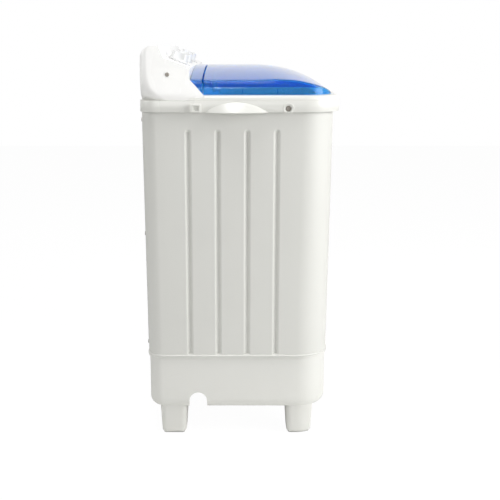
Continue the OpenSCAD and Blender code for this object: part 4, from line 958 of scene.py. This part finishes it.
def weathered(name, cloud, rise, share, fresh, worn, rough, spread, grain=None, **fixed):
    """A finish that noise turns from its fresh to its worn colour; grain is two noise and two bump values."""
    made = Finish(name, **fixed)
    wear = made.noise(*cloud)
    made.paint(Base_Color=made.blend(wear.rise(*rise) * share, fresh, worn), Roughness=rough + wear * spread)
    if grain:
        made.paint(Normal=made.bump(made.noise(*grain[:2]), *grain[2:]))
    return made


def rubbery(name, tint, rough):
    """Black or grey rubber and moulded black plastic: matt, chalky where it is touched."""
    chalky = [min(1, c * 1.5 + 0.03) for c in tint[:3]] + [1]
    return weathered(name, (22, 5), (0.45, 0.75), 0.45, tint, chalky, rough, 0.18, (900, 2, 0.2, 0.0002),
                     IOR=1.48).material


painted_sheet = sheet_paint()
black_moulding = rubbery("black_moulding", (0.025, 0.025, 0.028, 1), 0.4)


def corner_loop(x0, x1, z0, z1, r, y_at):
    """Points round an upright oblong with round corners, each at the depth that y_at gives for its height."""
    return [(x + (x0 + x1) / 2, y_at(z), z) for x, z in ring((x1 - x0) / 2, z0, z1, r, r, n=6)]


def rearward(x, z):
    """Places things about an axis towards the rear."""
    return lambda a, b, h: (x + a, h, z + b)


def standing(points):
    """Places that leave a piece upright."""
    return [(point, (0, 0, 1), (0, 1, 0)) for point in points]


def louvre():
    """A pressed hood, open along its bottom edge; its width lies along X, it rises along Y and stands out along Z."""
    rows = []
    for j in range(9):
        v = LOUVRE_HIGH * math.sin(math.radians(90 * j / 8))
        out = LOUVRE_OUT * math.sqrt(max(0, 1 - (v / LOUVRE_HIGH) ** 2))
        rows.append([])
        for i in range(33):
            u = LOUVRE_HALF * math.sin(math.radians(90 * (i / 16 - 1)))
            past = max(0, (abs(u) - LOUVRE_FLAT) / (LOUVRE_HALF - LOUVRE_FLAT))
            rows[-1].append((u, v, out * math.sqrt(max(0, 1 - past ** 2))))
    return thicken(form("louvre", grid(rows), painted_sheet, 50, True), LOUVRE_WALL, 50)


sheet = [corner_loop(-PANEL_W, PANEL_W, PANEL_LOW, PANEL_HIGH, 6, lambda z: back_y(z) + out) for out in (0, SHEET)]
sheet = soften(form("back_panel", wrap(sheet), painted_sheet), 0.35)
slots = repeat("slots", block((-60, -15, 0), (60, 15, 6)), standing([(x, back_y(z), z) for x, z in LOUVRES]),
               painted_sheet)
hole = spun([(0.01, 180), (GLAND_HOLE, 180), (GLAND_HOLE, 230), (0.01, 230)], rearward(GLAND_X, GLAND_Z))
cut(sheet, [slots, hole])
places = [((x, back_y(z) + SHEET - 0.1, z - 0.6), (0, 1, -0.0087), (0, 0.0087, 1)) for x, z in LOUVRES]
fit(gather("back_panel", [sheet, repeat("louvres", louvre(), places, painted_sheet, crease=50)]))
gland = [(4, -6), (8.9, -6), (8.9, -4), (12.4, -4), (13, -3.4), (13, -0.4), (8.9, -0.4), (8.9, 1.4), (13, 1.4),
         (13, 2.6), (12.4, 3.5), (11.4, 4), (7.4, 4), (6.4, 3.6), (5.4, 3.6), (4.4, 3), (4, 2.2)]
gland = spun([(r, back_y(GLAND_Z) + h) for r, h in gland], rearward(GLAND_X, GLAND_Z), 48, True)
fit(form("cord_gland", gland, black_moulding))


# Console back and water inlet: a plate that closes the console's rear window, snapped in behind a flange, and a
# moulded cup with the threaded spigot that the fill hose is screwed to.
INLET_X, INLET_Z = -250, 832
grey_moulding = moulding("grey_moulding", (0.62, 0.63, 0.64, 1), 0.42, 0.35)


def plate_y(x0, x1, y0, y1, z0, z1, r):
    """A flat plate across the machine with round corners."""
    return wrap([corner_loop(x0, x1, z0, z1, r, lambda z, y=y: y) for y in (y0, y1)])


cover = soften(form("console_back", plate_y(-284.7, 284.7, 212.5, 215.5, 779.3, 847.7, 4), light_painted_white), 0.6)
flange = form("flange", plate_y(-293, 293, 209.5, 212.4, 771, 854, 5), light_painted_white)
for piece in (cover, flange):
    cut(piece, [plate_y(INLET_X - 20, INLET_X + 20, 200, 220, INLET_Z - 20, INLET_Z + 40, 6)])
fit(gather("console_back", [cover, flange]))
inlet = [(7, 185.5), (24, 185.5), (24, 209.5), (18.6, 209.5), (18, 208.9), (18, 190.5), (10, 190.5), (10, 195)]
inlet += [(r, y + 2 * k) for k in range(8) for r, y in ((9.2, 195.6), (9.3, 196.2), (10, 196.7), (10, 197))]
inlet += [(9.8, 213), (9.3, 213.5), (7.5, 213.5), (7, 213)]
fit(form("water_inlet", spun(inlet, rearward(INLET_X, INLET_Z), 64, True), grey_moulding))


# Controls: two spring timers and a selector hang under the face; their steel spindles carry grip knobs in pale
# moulded plastic. A small slider between them turns the inlet water to either tub.
knob_white = moulding("knob_white", (0.8, 0.805, 0.8, 1), 0.3, 0.15)
dial_ink = weathered("dial_ink", (320, 3), (0.55, 0.75), 0.5, (0.14, 0.17, 0.24, 1), (0.4, 0.42, 0.45, 1), 0.45, 0.2,
                     IOR=1.45).material
TICK_R, SCOOP_OFF, TIMER_TURNS, SELECTOR_TURNS = 27.5, 29, range(0, 301, 20), (0, 45, 90)


def knob(name, x):
    """A flanged knob with a grip bar left between two scoops, and a pointer let into its top."""
    profile = [(0.01, 0.5), (22.4, 0.5), (23, 1), (23, 2.9), (22.5, 3.5), (21, 3.6), (20.6, 4.2), (19.3, 19),
               (18.8, 20), (17.8, 20.5), (0.01, 20.5)]
    made = form(name, spun(profile, face_place(x), 96), knob_white)
    scoop = [(0.01, 5.5), (15.4, 5.5), (17, 6.2), (17.8, 7.6), (18, 9), (18, 26), (0.01, 26)]
    soften(cut(made, [spun(scoop, face_place(x + off), 72) for off in (-SCOOP_OFF, SCOOP_OFF)]), 0.9, 40, 3)
    mark = soften(form("mark", face_block(x - 1, x + 1, KNOB_S + 13, KNOB_S + 17.8, 19.5, 20.9), dial_ink), 0.3)
    return gather(name, [made, mark])


for name, body, x in zip(("wash_timer_knob", "function_selector_knob", "spin_timer_knob"),
                         ("wash_timer_knob", "function_knob", "spin_timer_knob"), KNOB_X):
    fit(knob(name, x), body)


def marks(x, turns):
    """Places of the ticks round a knob, clockwise from its rest mark."""
    made = []
    for up, side in [polar(1, a) for a in turns]:
        point = on_face(x + TICK_R * side, KNOB_S + TICK_R * up, 0)
        made.append((point, (0, -math.sin(TILT), math.cos(TILT)), (side, up * math.cos(TILT), up * math.sin(TILT))))
    return made


tick = soften(form("tick", block((-0.45, -1.6, -0.1), (0.45, 1.6, 0.22)), dial_ink), 0.12)
places = marks(KNOB_X[0], TIMER_TURNS) + marks(KNOB_X[1], SELECTOR_TURNS) + marks(KNOB_X[2], TIMER_TURNS)
fit(repeat("dial_ticks", tick, places, dial_ink))
slider = []
for x0, x1, s, h0, h1, width in [(-9, 9, 7, 0.3, 3, 0.8), (-2, 2, 6, 2, 7, 0.9), (-2, 2, 2, -12, 1, 0.2)] + [
        (a - 0.5, a + 0.5, 5.5, 2.6, 3.5, 0.3) for a in (-7, -5, 5, 7)]:
    bar = face_block(SLIDER_X + x0, SLIDER_X + x1, KNOB_S - s, KNOB_S + s, h0, h1)
    slider.append(soften(form("slider", bar, knob_white), width, segments=3))
fit(gather("inlet_slider", slider), "inlet_slider")


def dress(finish, *nodes):
    """Gives CAD nodes their finish."""
    for node in nodes:
        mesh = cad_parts[node].data
        mesh.materials.clear()
        mesh.materials.append(finish)


bright_steel = steel("bright_steel", (0.62, 0.62, 0.63, 1), 0.22)
dress(bright_steel, "hinge_pins", "wash_timer_spindle", "function_selector_spindle", "spin_timer_spindle")
dress(grey_moulding, "wash_timer", "function_selector", "spin_timer", "inlet_duct")


# Spin safety cover: a loose disc of grey plastic over the mouth of the spin tub. A lip under it centres it, and a
# bridge handle is moulded across its top.
def turned(name, profile, at, finish, n=64, hollow=False):
    return form(name, spun(profile, upright(*at), n, hollow), finish)


def bridge(x0, x1, y0, y1, z0, z1, thick, high, width):
    """A handle: a bar on two legs."""
    made = form("bridge", block((x0, y0, z0), (x1, y1, z1)), grey_moulding)
    return soften(cut(made, [block((x0 + thick, y0 - 2, z0 + 1), (x1 - thick, y1 + 2, z0 + high))]), width, segments=3)


plug = [(0.01, 776), (99.5, 776), (99.5, 769.6), (99.9, 769), (102.1, 769), (102.5, 769.6), (102.5, 776), (109.6, 776),
        (110, 776.5), (110, 777.4), (109.5, 778), (74, 778), (73.4, 777.5), (70.6, 777.5), (70, 778), (0.01, 778)]
plug = turned("spin_safety_cover", plug, SPIN, grey_moulding, 128)
fit(gather("spin_safety_cover", [plug, bridge(150, 230, -60, -50, 777, 790, 12, 8, 1.5)]),
    "safety_cover")


# Wash tub: a deep white tub that hangs by its rim under the deck, with a rounded floor. A lint filter slides in
# rails on its right wall, and a slotted grille hides the overflow pipe in its rear left corner.
WASH, OVERFLOW = (-158, -15), (-280, 132)
WASH_LEVELS = [(352, 14), (353.5, 8), (357, 2.6), (363, -1.4), (370, -3), (759, -3), (759, -8), (762, -8), (762, 0),
               (373, 0), (366, 1.2), (360, 4.5), (356.4, 9.5), (355, 17)]


def wash_plan(d):
    return ring_between(-328 + d, 12 - d, -180 + d, 150 - d, 50 - d)


wash_tub = form("wash_tub", tower(wash_plan, WASH_LEVELS), satin_white)
fit(cut(wash_tub, [round_rod(*WASH, 340, 370, 16, 64), round_rod(*OVERFLOW, 340, 370, 11)]))
grille = form("overflow_grille", block((-305, 109, 355), (-233, 150, 697)), grey_moulding)
cut(grille, [tower(wash_plan, [(350, 0.2), (700, 0.2)])], "INTERSECT")
slots = standing([(-269, 110, 367 + 14 * k) for k in range(23)])
slots = repeat("slots", block((-24, -4, 0), (24, 4, 5)), slots, grey_moulding)
cut(grille, [block((-303, 111, 350), (-235, 152, 695)), block((-310, 123, 350), (-300, 152, 690)), slots])
fit(soften(grille, 0.5))
pipe = [(14, 355), (17, 355), (17, 681.4), (16.4, 682), (14.6, 682), (14, 681.4)]
fit(turned("overflow_pipe", pipe, OVERFLOW, grey_moulding, 48, True))
rails = []
for y, groove in ((-65, (1, 10)), (35, (-10, -1))):
    rail = form("rail", block((0, y - 5, 519), (12, y + 5, 755)), grey_moulding)
    rails.append(soften(cut(rail, [block((3, y + groove[0], 525), (8, y + groove[1], 760))]), 0.5))
fit(gather("lint_filter_rail", rails))
lint = form("lint_filter", block((3.3, -63.7, 525), (7.7, 33.7, 685)), grey_moulding)
cut(lint, [block((-10, -58, 525), (4, 28, 685))], "UNION")
cells = standing([(-8.5, -15 + 11 * j, 531 + 18 * i) for i in range(8) for j in range(-3, 4)])
cut(lint, [block((-8, -56, 527), (12, 26, 677)),
           repeat("cells", block((-2.5, -4, 0), (2.5, 4, 10)), cells, grey_moulding)])
fit(soften(lint, 0.4), "lint_filter")


# Pulsator: a finned dish of moulded grey plastic that stirs the water from the tub's floor. One screw in its hub
# holds it on the end of the wash shaft.
dish = [(0.01, 359), (104.4, 359), (105, 359.8), (105, 364), (104.2, 365), (72.5, 365), (30, 375), (27.5, 376),
        (26, 378), (26, 382.2), (25.2, 383), (9.6, 383), (9, 382.4), (9, 379), (0.01, 379)]
dish = turned("pulsator", dish, WASH, grey_moulding, 128)


def fin():
    """A fin from the hub outwards along X, round on top and falling to the dish's edge."""
    rows = []
    for r, half, top in ((24, 5, 383), (40, 5, 382.8), (60, 4.7, 381), (80, 4.3, 379), (90, 4.1, 377.6),
                         (94.5, 3.6, 376), (96.5, 2.2, 373)):
        arch = [(half * c, top - 4 + 4 * s) for c, s in [polar(1, a) for a in range(0, 181, 20)]]
        rows.append([(r, y, z) for y, z in [(half, 362)] + arch + [(-half, 362)]])
    return wrap(rows)


places = [((*WASH, 0), (0, 0, 1), (*polar(1, a + 90), 0)) for a in range(0, 360, 60)]
fit(gather("pulsator", [dish, repeat("fins", fin(), places, grey_moulding)]), "wash_drive")
fit(repeat("pulsator_screw", screw(8, 3, 3, 4), standing([(*WASH, 379)]), shade_darkened_steel), "wash_drive")


# Wash drive: a steel shaft in a long bearing under the tub, with a lip seal above. A V belt of rubber takes it round
# from the motor, whose bells and laminated core stand on three rubber cushions on the base's floor.
MOTOR, MOTOR_Z = (-6, -55), 132
BIG_GROOVE, LITTLE_GROOVE, PULLEY_HOLES, CUSHIONS_R, SHAFT_R = 82, 18, 45.76, 45, 8
black_rubber = rubbery("black_rubber", (0.018, 0.018, 0.02, 1), 0.62)
cast_alloy = weathered("cast_alloy", (30, 4), (0.5, 0.75), 0.5, (0.66, 0.67, 0.68, 1), (0.4, 0.39, 0.37, 1), 0.4, 0.2,
                       (500, 3, 0.3, 0.0003), Metallic=1.0).material
motor_enamel = weathered("motor_enamel", (26, 5), (0.5, 0.72), 0.6, (0.2, 0.22, 0.24, 1), (0.3, 0.3, 0.3, 1), 0.42, 0.2,
                         (600, 2, 0.2, 0.0003), IOR=1.5).material
core = weathered("core_sheets", (35, 4), (0.4, 0.7), 1.0, (0.2, 0.18, 0.17, 1), (0.32, 0.27, 0.22, 1), 0.38, 0.2,
                 Metallic=0.8)
core.paint(Normal=core.bump(core.height().maths("SINE", core.height() * 9000), 0.35, 0.0002))
core_sheets = core.material
pulley = [(0.01, 238), (19, 238), (20, 239), (20, 243), (23, 244), (71, 244), (73, 243), (74, 239), (75, 238),
          (87.4, 238), (88, 238.7), (88, 240.6), (82.3, 242.3), (82.3, 249.7), (88, 251.4), (88, 253.3), (87.4, 254),
          (75, 254), (74, 253), (73, 249), (71, 248), (23, 248), (20, 249), (20, 253), (19, 254), (0.01, 254)]
pulley = turned("wash_pulley", pulley, WASH, cast_alloy, 128)
holes = standing([(*polar(PULLEY_HOLES, a, *WASH), 246) for a in range(0, 360, 60)])
cut(pulley, [repeat("holes", round_rod(0, 0, -10, 10, 15.8, 48), holes, grey_moulding)])
fit(soften(pulley, 0.4), "wash_drive")
small = [(0.01, 238), (23.5, 238), (24, 238.6), (24, 240.6), (18.3, 242.3), (18.3, 249.7), (24, 251.4), (24, 253.4),
         (23.5, 254), (0.01, 254)]
fit(turned("wash_motor_pulley", small, MOTOR, cast_alloy, 72), "wash_rotor")


def belt_line(d):
    """The belt's path, a distance d outside the grooves of both pulleys."""
    big, little = BIG_GROOVE + d, LITTLE_GROOVE + d
    across, along = MOTOR[0] - WASH[0], MOTOR[1] - WASH[1]
    way = math.degrees(math.atan2(along, across))
    lap = math.degrees(math.acos((big - little) / math.hypot(across, along)))
    line = [polar(big, way + lap + (360 - 2 * lap) * i / 72, *WASH) for i in range(73)]
    return line + [polar(little, way - lap + 2 * lap * i / 32, *MOTOR) for i in range(33)]


belt = ((242.9, 0.6), (241.7, 5.6), (242.1, 6.5), (249.9, 6.5), (250.3, 5.6), (249.1, 0.6), (242.9, 0.6))
fit(form("drive_belt", wrap([[(x, y, z) for x, y in belt_line(d)] for z, d in belt], False), black_rubber))


def rod(r, z0, z1, edge, bore=0.01):
    """The profile of a plain rod or tube with bevelled ends."""
    return [(bore, z0), (r - edge, z0), (r, z0 + edge), (r, z1 - edge), (r - edge, z1), (bore, z1)]


fit(turned("wash_shaft", rod(SHAFT_R, 238, 375, 0.8), WASH, bright_steel), "wash_drive")
sleeve = [(8.1, 258), (21, 258), (22, 259), (22, 343.5), (23, 345.8), (26, 347), (45.4, 347), (46, 347.6), (46, 351.4),
          (45.4, 352), (8.1, 352)]
fit(turned("wash_bearing", sleeve, WASH, cast_alloy, 72, True))
seal = [(8.1, 352), (15.6, 352), (16, 352.4), (16, 355.6), (15.4, 356), (12.5, 356), (11.5, 354.6), (10, 354.4),
        (8.8, 356), (8.1, 356)]
fit(turned("wash_shaft_seal", seal, WASH, black_rubber, 64, True))


def motor(name, at, z0):
    """Two enamelled bells bolted together round a laminated core, with room for the rotor inside."""
    case = [(6.1, 0), (56, 0), (57.4, 0.6), (58, 2), (58, 29), (58, 67), (58, 80), (56.5, 85), (52, 89), (44, 91.5),
            (26, 93), (23.5, 94), (22, 95.6), (20.5, 96), (6.1, 96), (6.1, 88), (38.8, 88), (38.8, 8), (6.1, 8)]
    core = [(57, 29), (59.4, 29), (60, 29.6), (60, 66.4), (59.4, 67), (57, 67)]
    parts = [turned(part, [(r, z0 + h) for r, h in profile], at, finish, 96, True)
             for part, profile, finish in ((name, case, motor_enamel), ("core", core, core_sheets))]
    bolts = standing([(*polar(51, a, *at), z0 + 87) for a in (45, 135, 225, 315)])
    head = soften(form("head", round_rod(0, 0, 0, 6, 3.6, 6), shade_darkened_steel), 0.3)
    fit(gather(name, parts + [repeat("bolts", head, bolts, shade_darkened_steel, 1.0, 5)]))


def rotor(name, body, at, z0, top):
    made = [(0.01, 2), (5.4, 2), (6, 2.6), (6, 10), (37.2, 10), (38, 10.8), (38, 85.2), (37.2, 86), (6, 86)]
    made = [(r, z0 + h) for r, h in made] + [(6, top - 0.8), (5.3, top), (0.01, top)]
    fit(turned(name, made, at, bright_steel, 72), body)


def three_round(at, reach):
    """Places of the three supports under a motor."""
    return standing([(*polar(reach, a, *at), Z_FLOOR + FLOOR_T) for a in (30, 150, 270)])


motor("wash_motor", MOTOR, MOTOR_Z)
rotor("wash_motor_rotor", "wash_rotor", MOTOR, MOTOR_Z, 254)
cushion = [(0.01, 0), (12.4, 0), (13, 0.6), (12.7, 2.4), (11.4, 6), (12.7, 9.6), (13, 11.4), (12.4, 12), (0.01, 12)]
cushion = spun(cushion, upright(0, 0), 40)
fit(repeat("wash_motor_cushions", cushion, three_round(MOTOR, CUSHIONS_R), black_rubber))


# Spin side: a round white tub with a perforated grey basket. A balance ring closes the basket's top, and a loose
# press plate inside holds the laundry down. The basket, its shaft and the brake drum turn on a second motor that is
# hung on three springs, and a lever presses its lining on the drum when the lid is opened.
BRAKE, SPIN_MOTOR_Z, SPRINGS_R, BASKET_R = (248, -89), 156, 44, 111
COIL_R, WIRE_R, COILS, COIL_HIGH = 10, 1.5, 5, 36
grey_rubber = rubbery("grey_rubber", (0.52, 0.52, 0.5, 1), 0.65)
tub = [(20, 368), (128, 368), (134, 370.5), (136, 376), (136, 759), (141, 759), (141, 762), (133, 762), (133, 379),
       (131, 373.5), (126, 371), (20, 371)]
tub = cut(turned("spin_tub", tub, SPIN, satin_white, 128, True), [round_rod(190, 64, 360, 380, 7)])
pivot = [(0.01, 259), (2.6, 259), (3, 259.4), (3, 290), (7.4, 290), (8, 290.6), (8, 369), (0.01, 369)]
fit(gather("spin_tub", [tub, turned("pivot", pivot, BRAKE, satin_white, 32)]))
basket = [(0.01, 389), (106, 389), (110.5, 391), (112, 396), (112, 719), (109.5, 719), (109.5, 397), (108, 393.2),
          (104, 392), (36, 392), (34, 393), (22.8, 422), (21.5, 423), (0.01, 423)]
basket = turned("spin_basket", basket, SPIN, grey_moulding, 144)
drilled = []
for i in range(6):
    for j in range(16):
        turn = (j + (i % 2) / 3) * 22.5 + 90
        drilled.append(((*polar(BASKET_R, turn, *SPIN), 413 + (i + 0.5) * 44.333), (*polar(1, turn), 0), (0, 0, 1)))
cut(basket, [repeat("holes", round_rod(0, 0, -6, 6, 4, 20), drilled, grey_moulding)])
fit(basket, "spin_drive")
balance = [(82, 695), (109, 695), (109, 719), (115, 719), (115, 722), (113.8, 723), (89.5, 723), (88, 721.5), (88, 698),
           (82.6, 698), (82, 697.4)]
fit(turned("balance_ring", balance, SPIN, satin_white, 128, True), "spin_drive")
press = turned("press_plate", rod(87.4, 698, 701, 0.4), SPIN, grey_moulding, 128)
drains = standing([(*polar(r, a + r, *SPIN), 699.5) for r in (74, 54, 34) for a in range(0, 360, 30)])
cut(press, [repeat("holes", round_rod(0, 0, -4, 4, 4, 20), drains, grey_moulding)])
handle = bridge(168, 212, -59, -51, 700, 717, 7, 11, 1.2)
fit(gather("press_plate", [soften(press, 0.3), handle]), "press_plate")
fit(turned("spin_shaft", rod(SHAFT_R, 268, 417, 0.8), SPIN, bright_steel), "spin_drive")
bellows = [(8.1, 354), (12, 354), (14, 355), (20, 357.4), (20, 358.6), (16.5, 360.3), (20, 362), (20, 364), (27.5, 364),
           (28, 364.5), (28, 368), (20, 368), (20, 374.4), (19.4, 375), (8.1, 375)]
fit(turned("spin_shaft_seal", bellows, SPIN, black_rubber, 72, True))
drum = [(6.1, 260), (41.4, 260), (42, 260.6), (42, 289.4), (41.4, 290), (36.6, 290), (36, 289.4), (36, 273), (35, 272),
        (17, 272), (16, 273), (16, 289.4), (15.4, 290), (8.1, 290), (8.1, 268), (6.1, 268)]
fit(turned("brake_drum", drum, SPIN, cast_alloy, 96, True), "spin_drive")
arm = cut(form("arm", block((244, -89, 272), (252, -31, 278)), shade_darkened_steel), [round_rod(*BRAKE, 270, 280, 6)])
shoe = cut(form("shoe", block((232, -63, 267), (248, -43, 283)), shade_darkened_steel), [round_rod(*SPIN, 260, 290, 49, 128)])
lining = cut(form("lining", block((230, -62.6, 267.6), (248, -43.4, 282.4)), black_rubber),
             [round_rod(*SPIN, 260, 290, 46.2, 128)])
cut(lining, [round_rod(*SPIN, 260, 290, 49.1, 128)], "INTERSECT")
hub = turned("hub", rod(8, 268, 282, 0.6, 3.1), BRAKE, shade_darkened_steel, 32, True)
lever = [soften(arm, 0.6), soften(shoe, 0.5), lining, hub]
fit(gather("brake_lever", lever), "brake_lever")
motor("spin_motor", SPIN, SPIN_MOTOR_Z)
rotor("spin_motor_rotor", "spin_drive", SPIN, SPIN_MOTOR_Z, 268)
rows = []
for i in range(24 * COILS + 1):
    rise = WIRE_R + (COIL_HIGH - 2 * WIRE_R) * i / (24 * COILS)
    section = [polar(WIRE_R, -a, COIL_R, rise) for a in range(0, 360, 30)]
    rows.append([(*polar(r, 360 * i / 24), z) for r, z in section])
places = three_round(SPIN, SPRINGS_R)
coils = repeat("coils", form("coil", wrap(rows), bright_steel, 60), places, bright_steel, crease=60)
post = spun(rod(7.5, 0, COIL_HIGH, 0.5), upright(0, 0), 32)
fit(gather("spin_motor_springs", [coils, repeat("posts", post, places, grey_rubber)]))
dress(black_moulding, "drain_valve", "drain_pipe")
dress(black_rubber, "drain_plug")


# Capacitors: two cans of grey plastic behind the motors, each with a resin top and two spade tabs. A strap of
# plated steel holds each one down.
def can(x):
    bodies = [((0.8, 147.8, 120), (47.2, 174.2, 188), grey_moulding, 2.5, 3),
              ((3, 150, 186), (45, 172, 190), black_moulding, 0.8, 2),
              ((0, 147, 148), (48, 175, 158), shade_darkened_steel, 0.4, 2)]
    bodies += [((a - 3, 160.6, 189), (a + 3, 161.4, 194), shade_darkened_steel, 0.2, 2) for a in (14, 34)]
    return [soften(form("can", block((x + a, b, c), (x + d, e, f)), finish), width, segments=n)
            for (a, b, c), (d, e, f), finish, width, n in bodies]


fit(gather("capacitors", can(60) + can(125)))


# Foot pads: blocks of grey rubber with a rounded lower edge, one under each foot.
PAD_IN = 7.2


def pad(side, y0):
    rows = []
    for z, d in ((0, 1), (0.25, 0.4), (0.9, 0), (2.4, 0)):
        inset = FOOT_IN + PAD_IN + d
        shell = ring(SKIRT_X - inset, SKIRT_FRONT + inset, SKIRT_REAR - inset, SKIRT_R - 13, SKIRT_REAR_R - 13)
        rows.append(foot_row(side, y0, z, PAD_IN + d, 6, shell))
    return form("pad", wrap(rows), grey_rubber)


fit(gather("foot_pads", [pad(side, y0) for side in (-1, 1) for y0 in FOOT_PLACES]))


low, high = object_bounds()
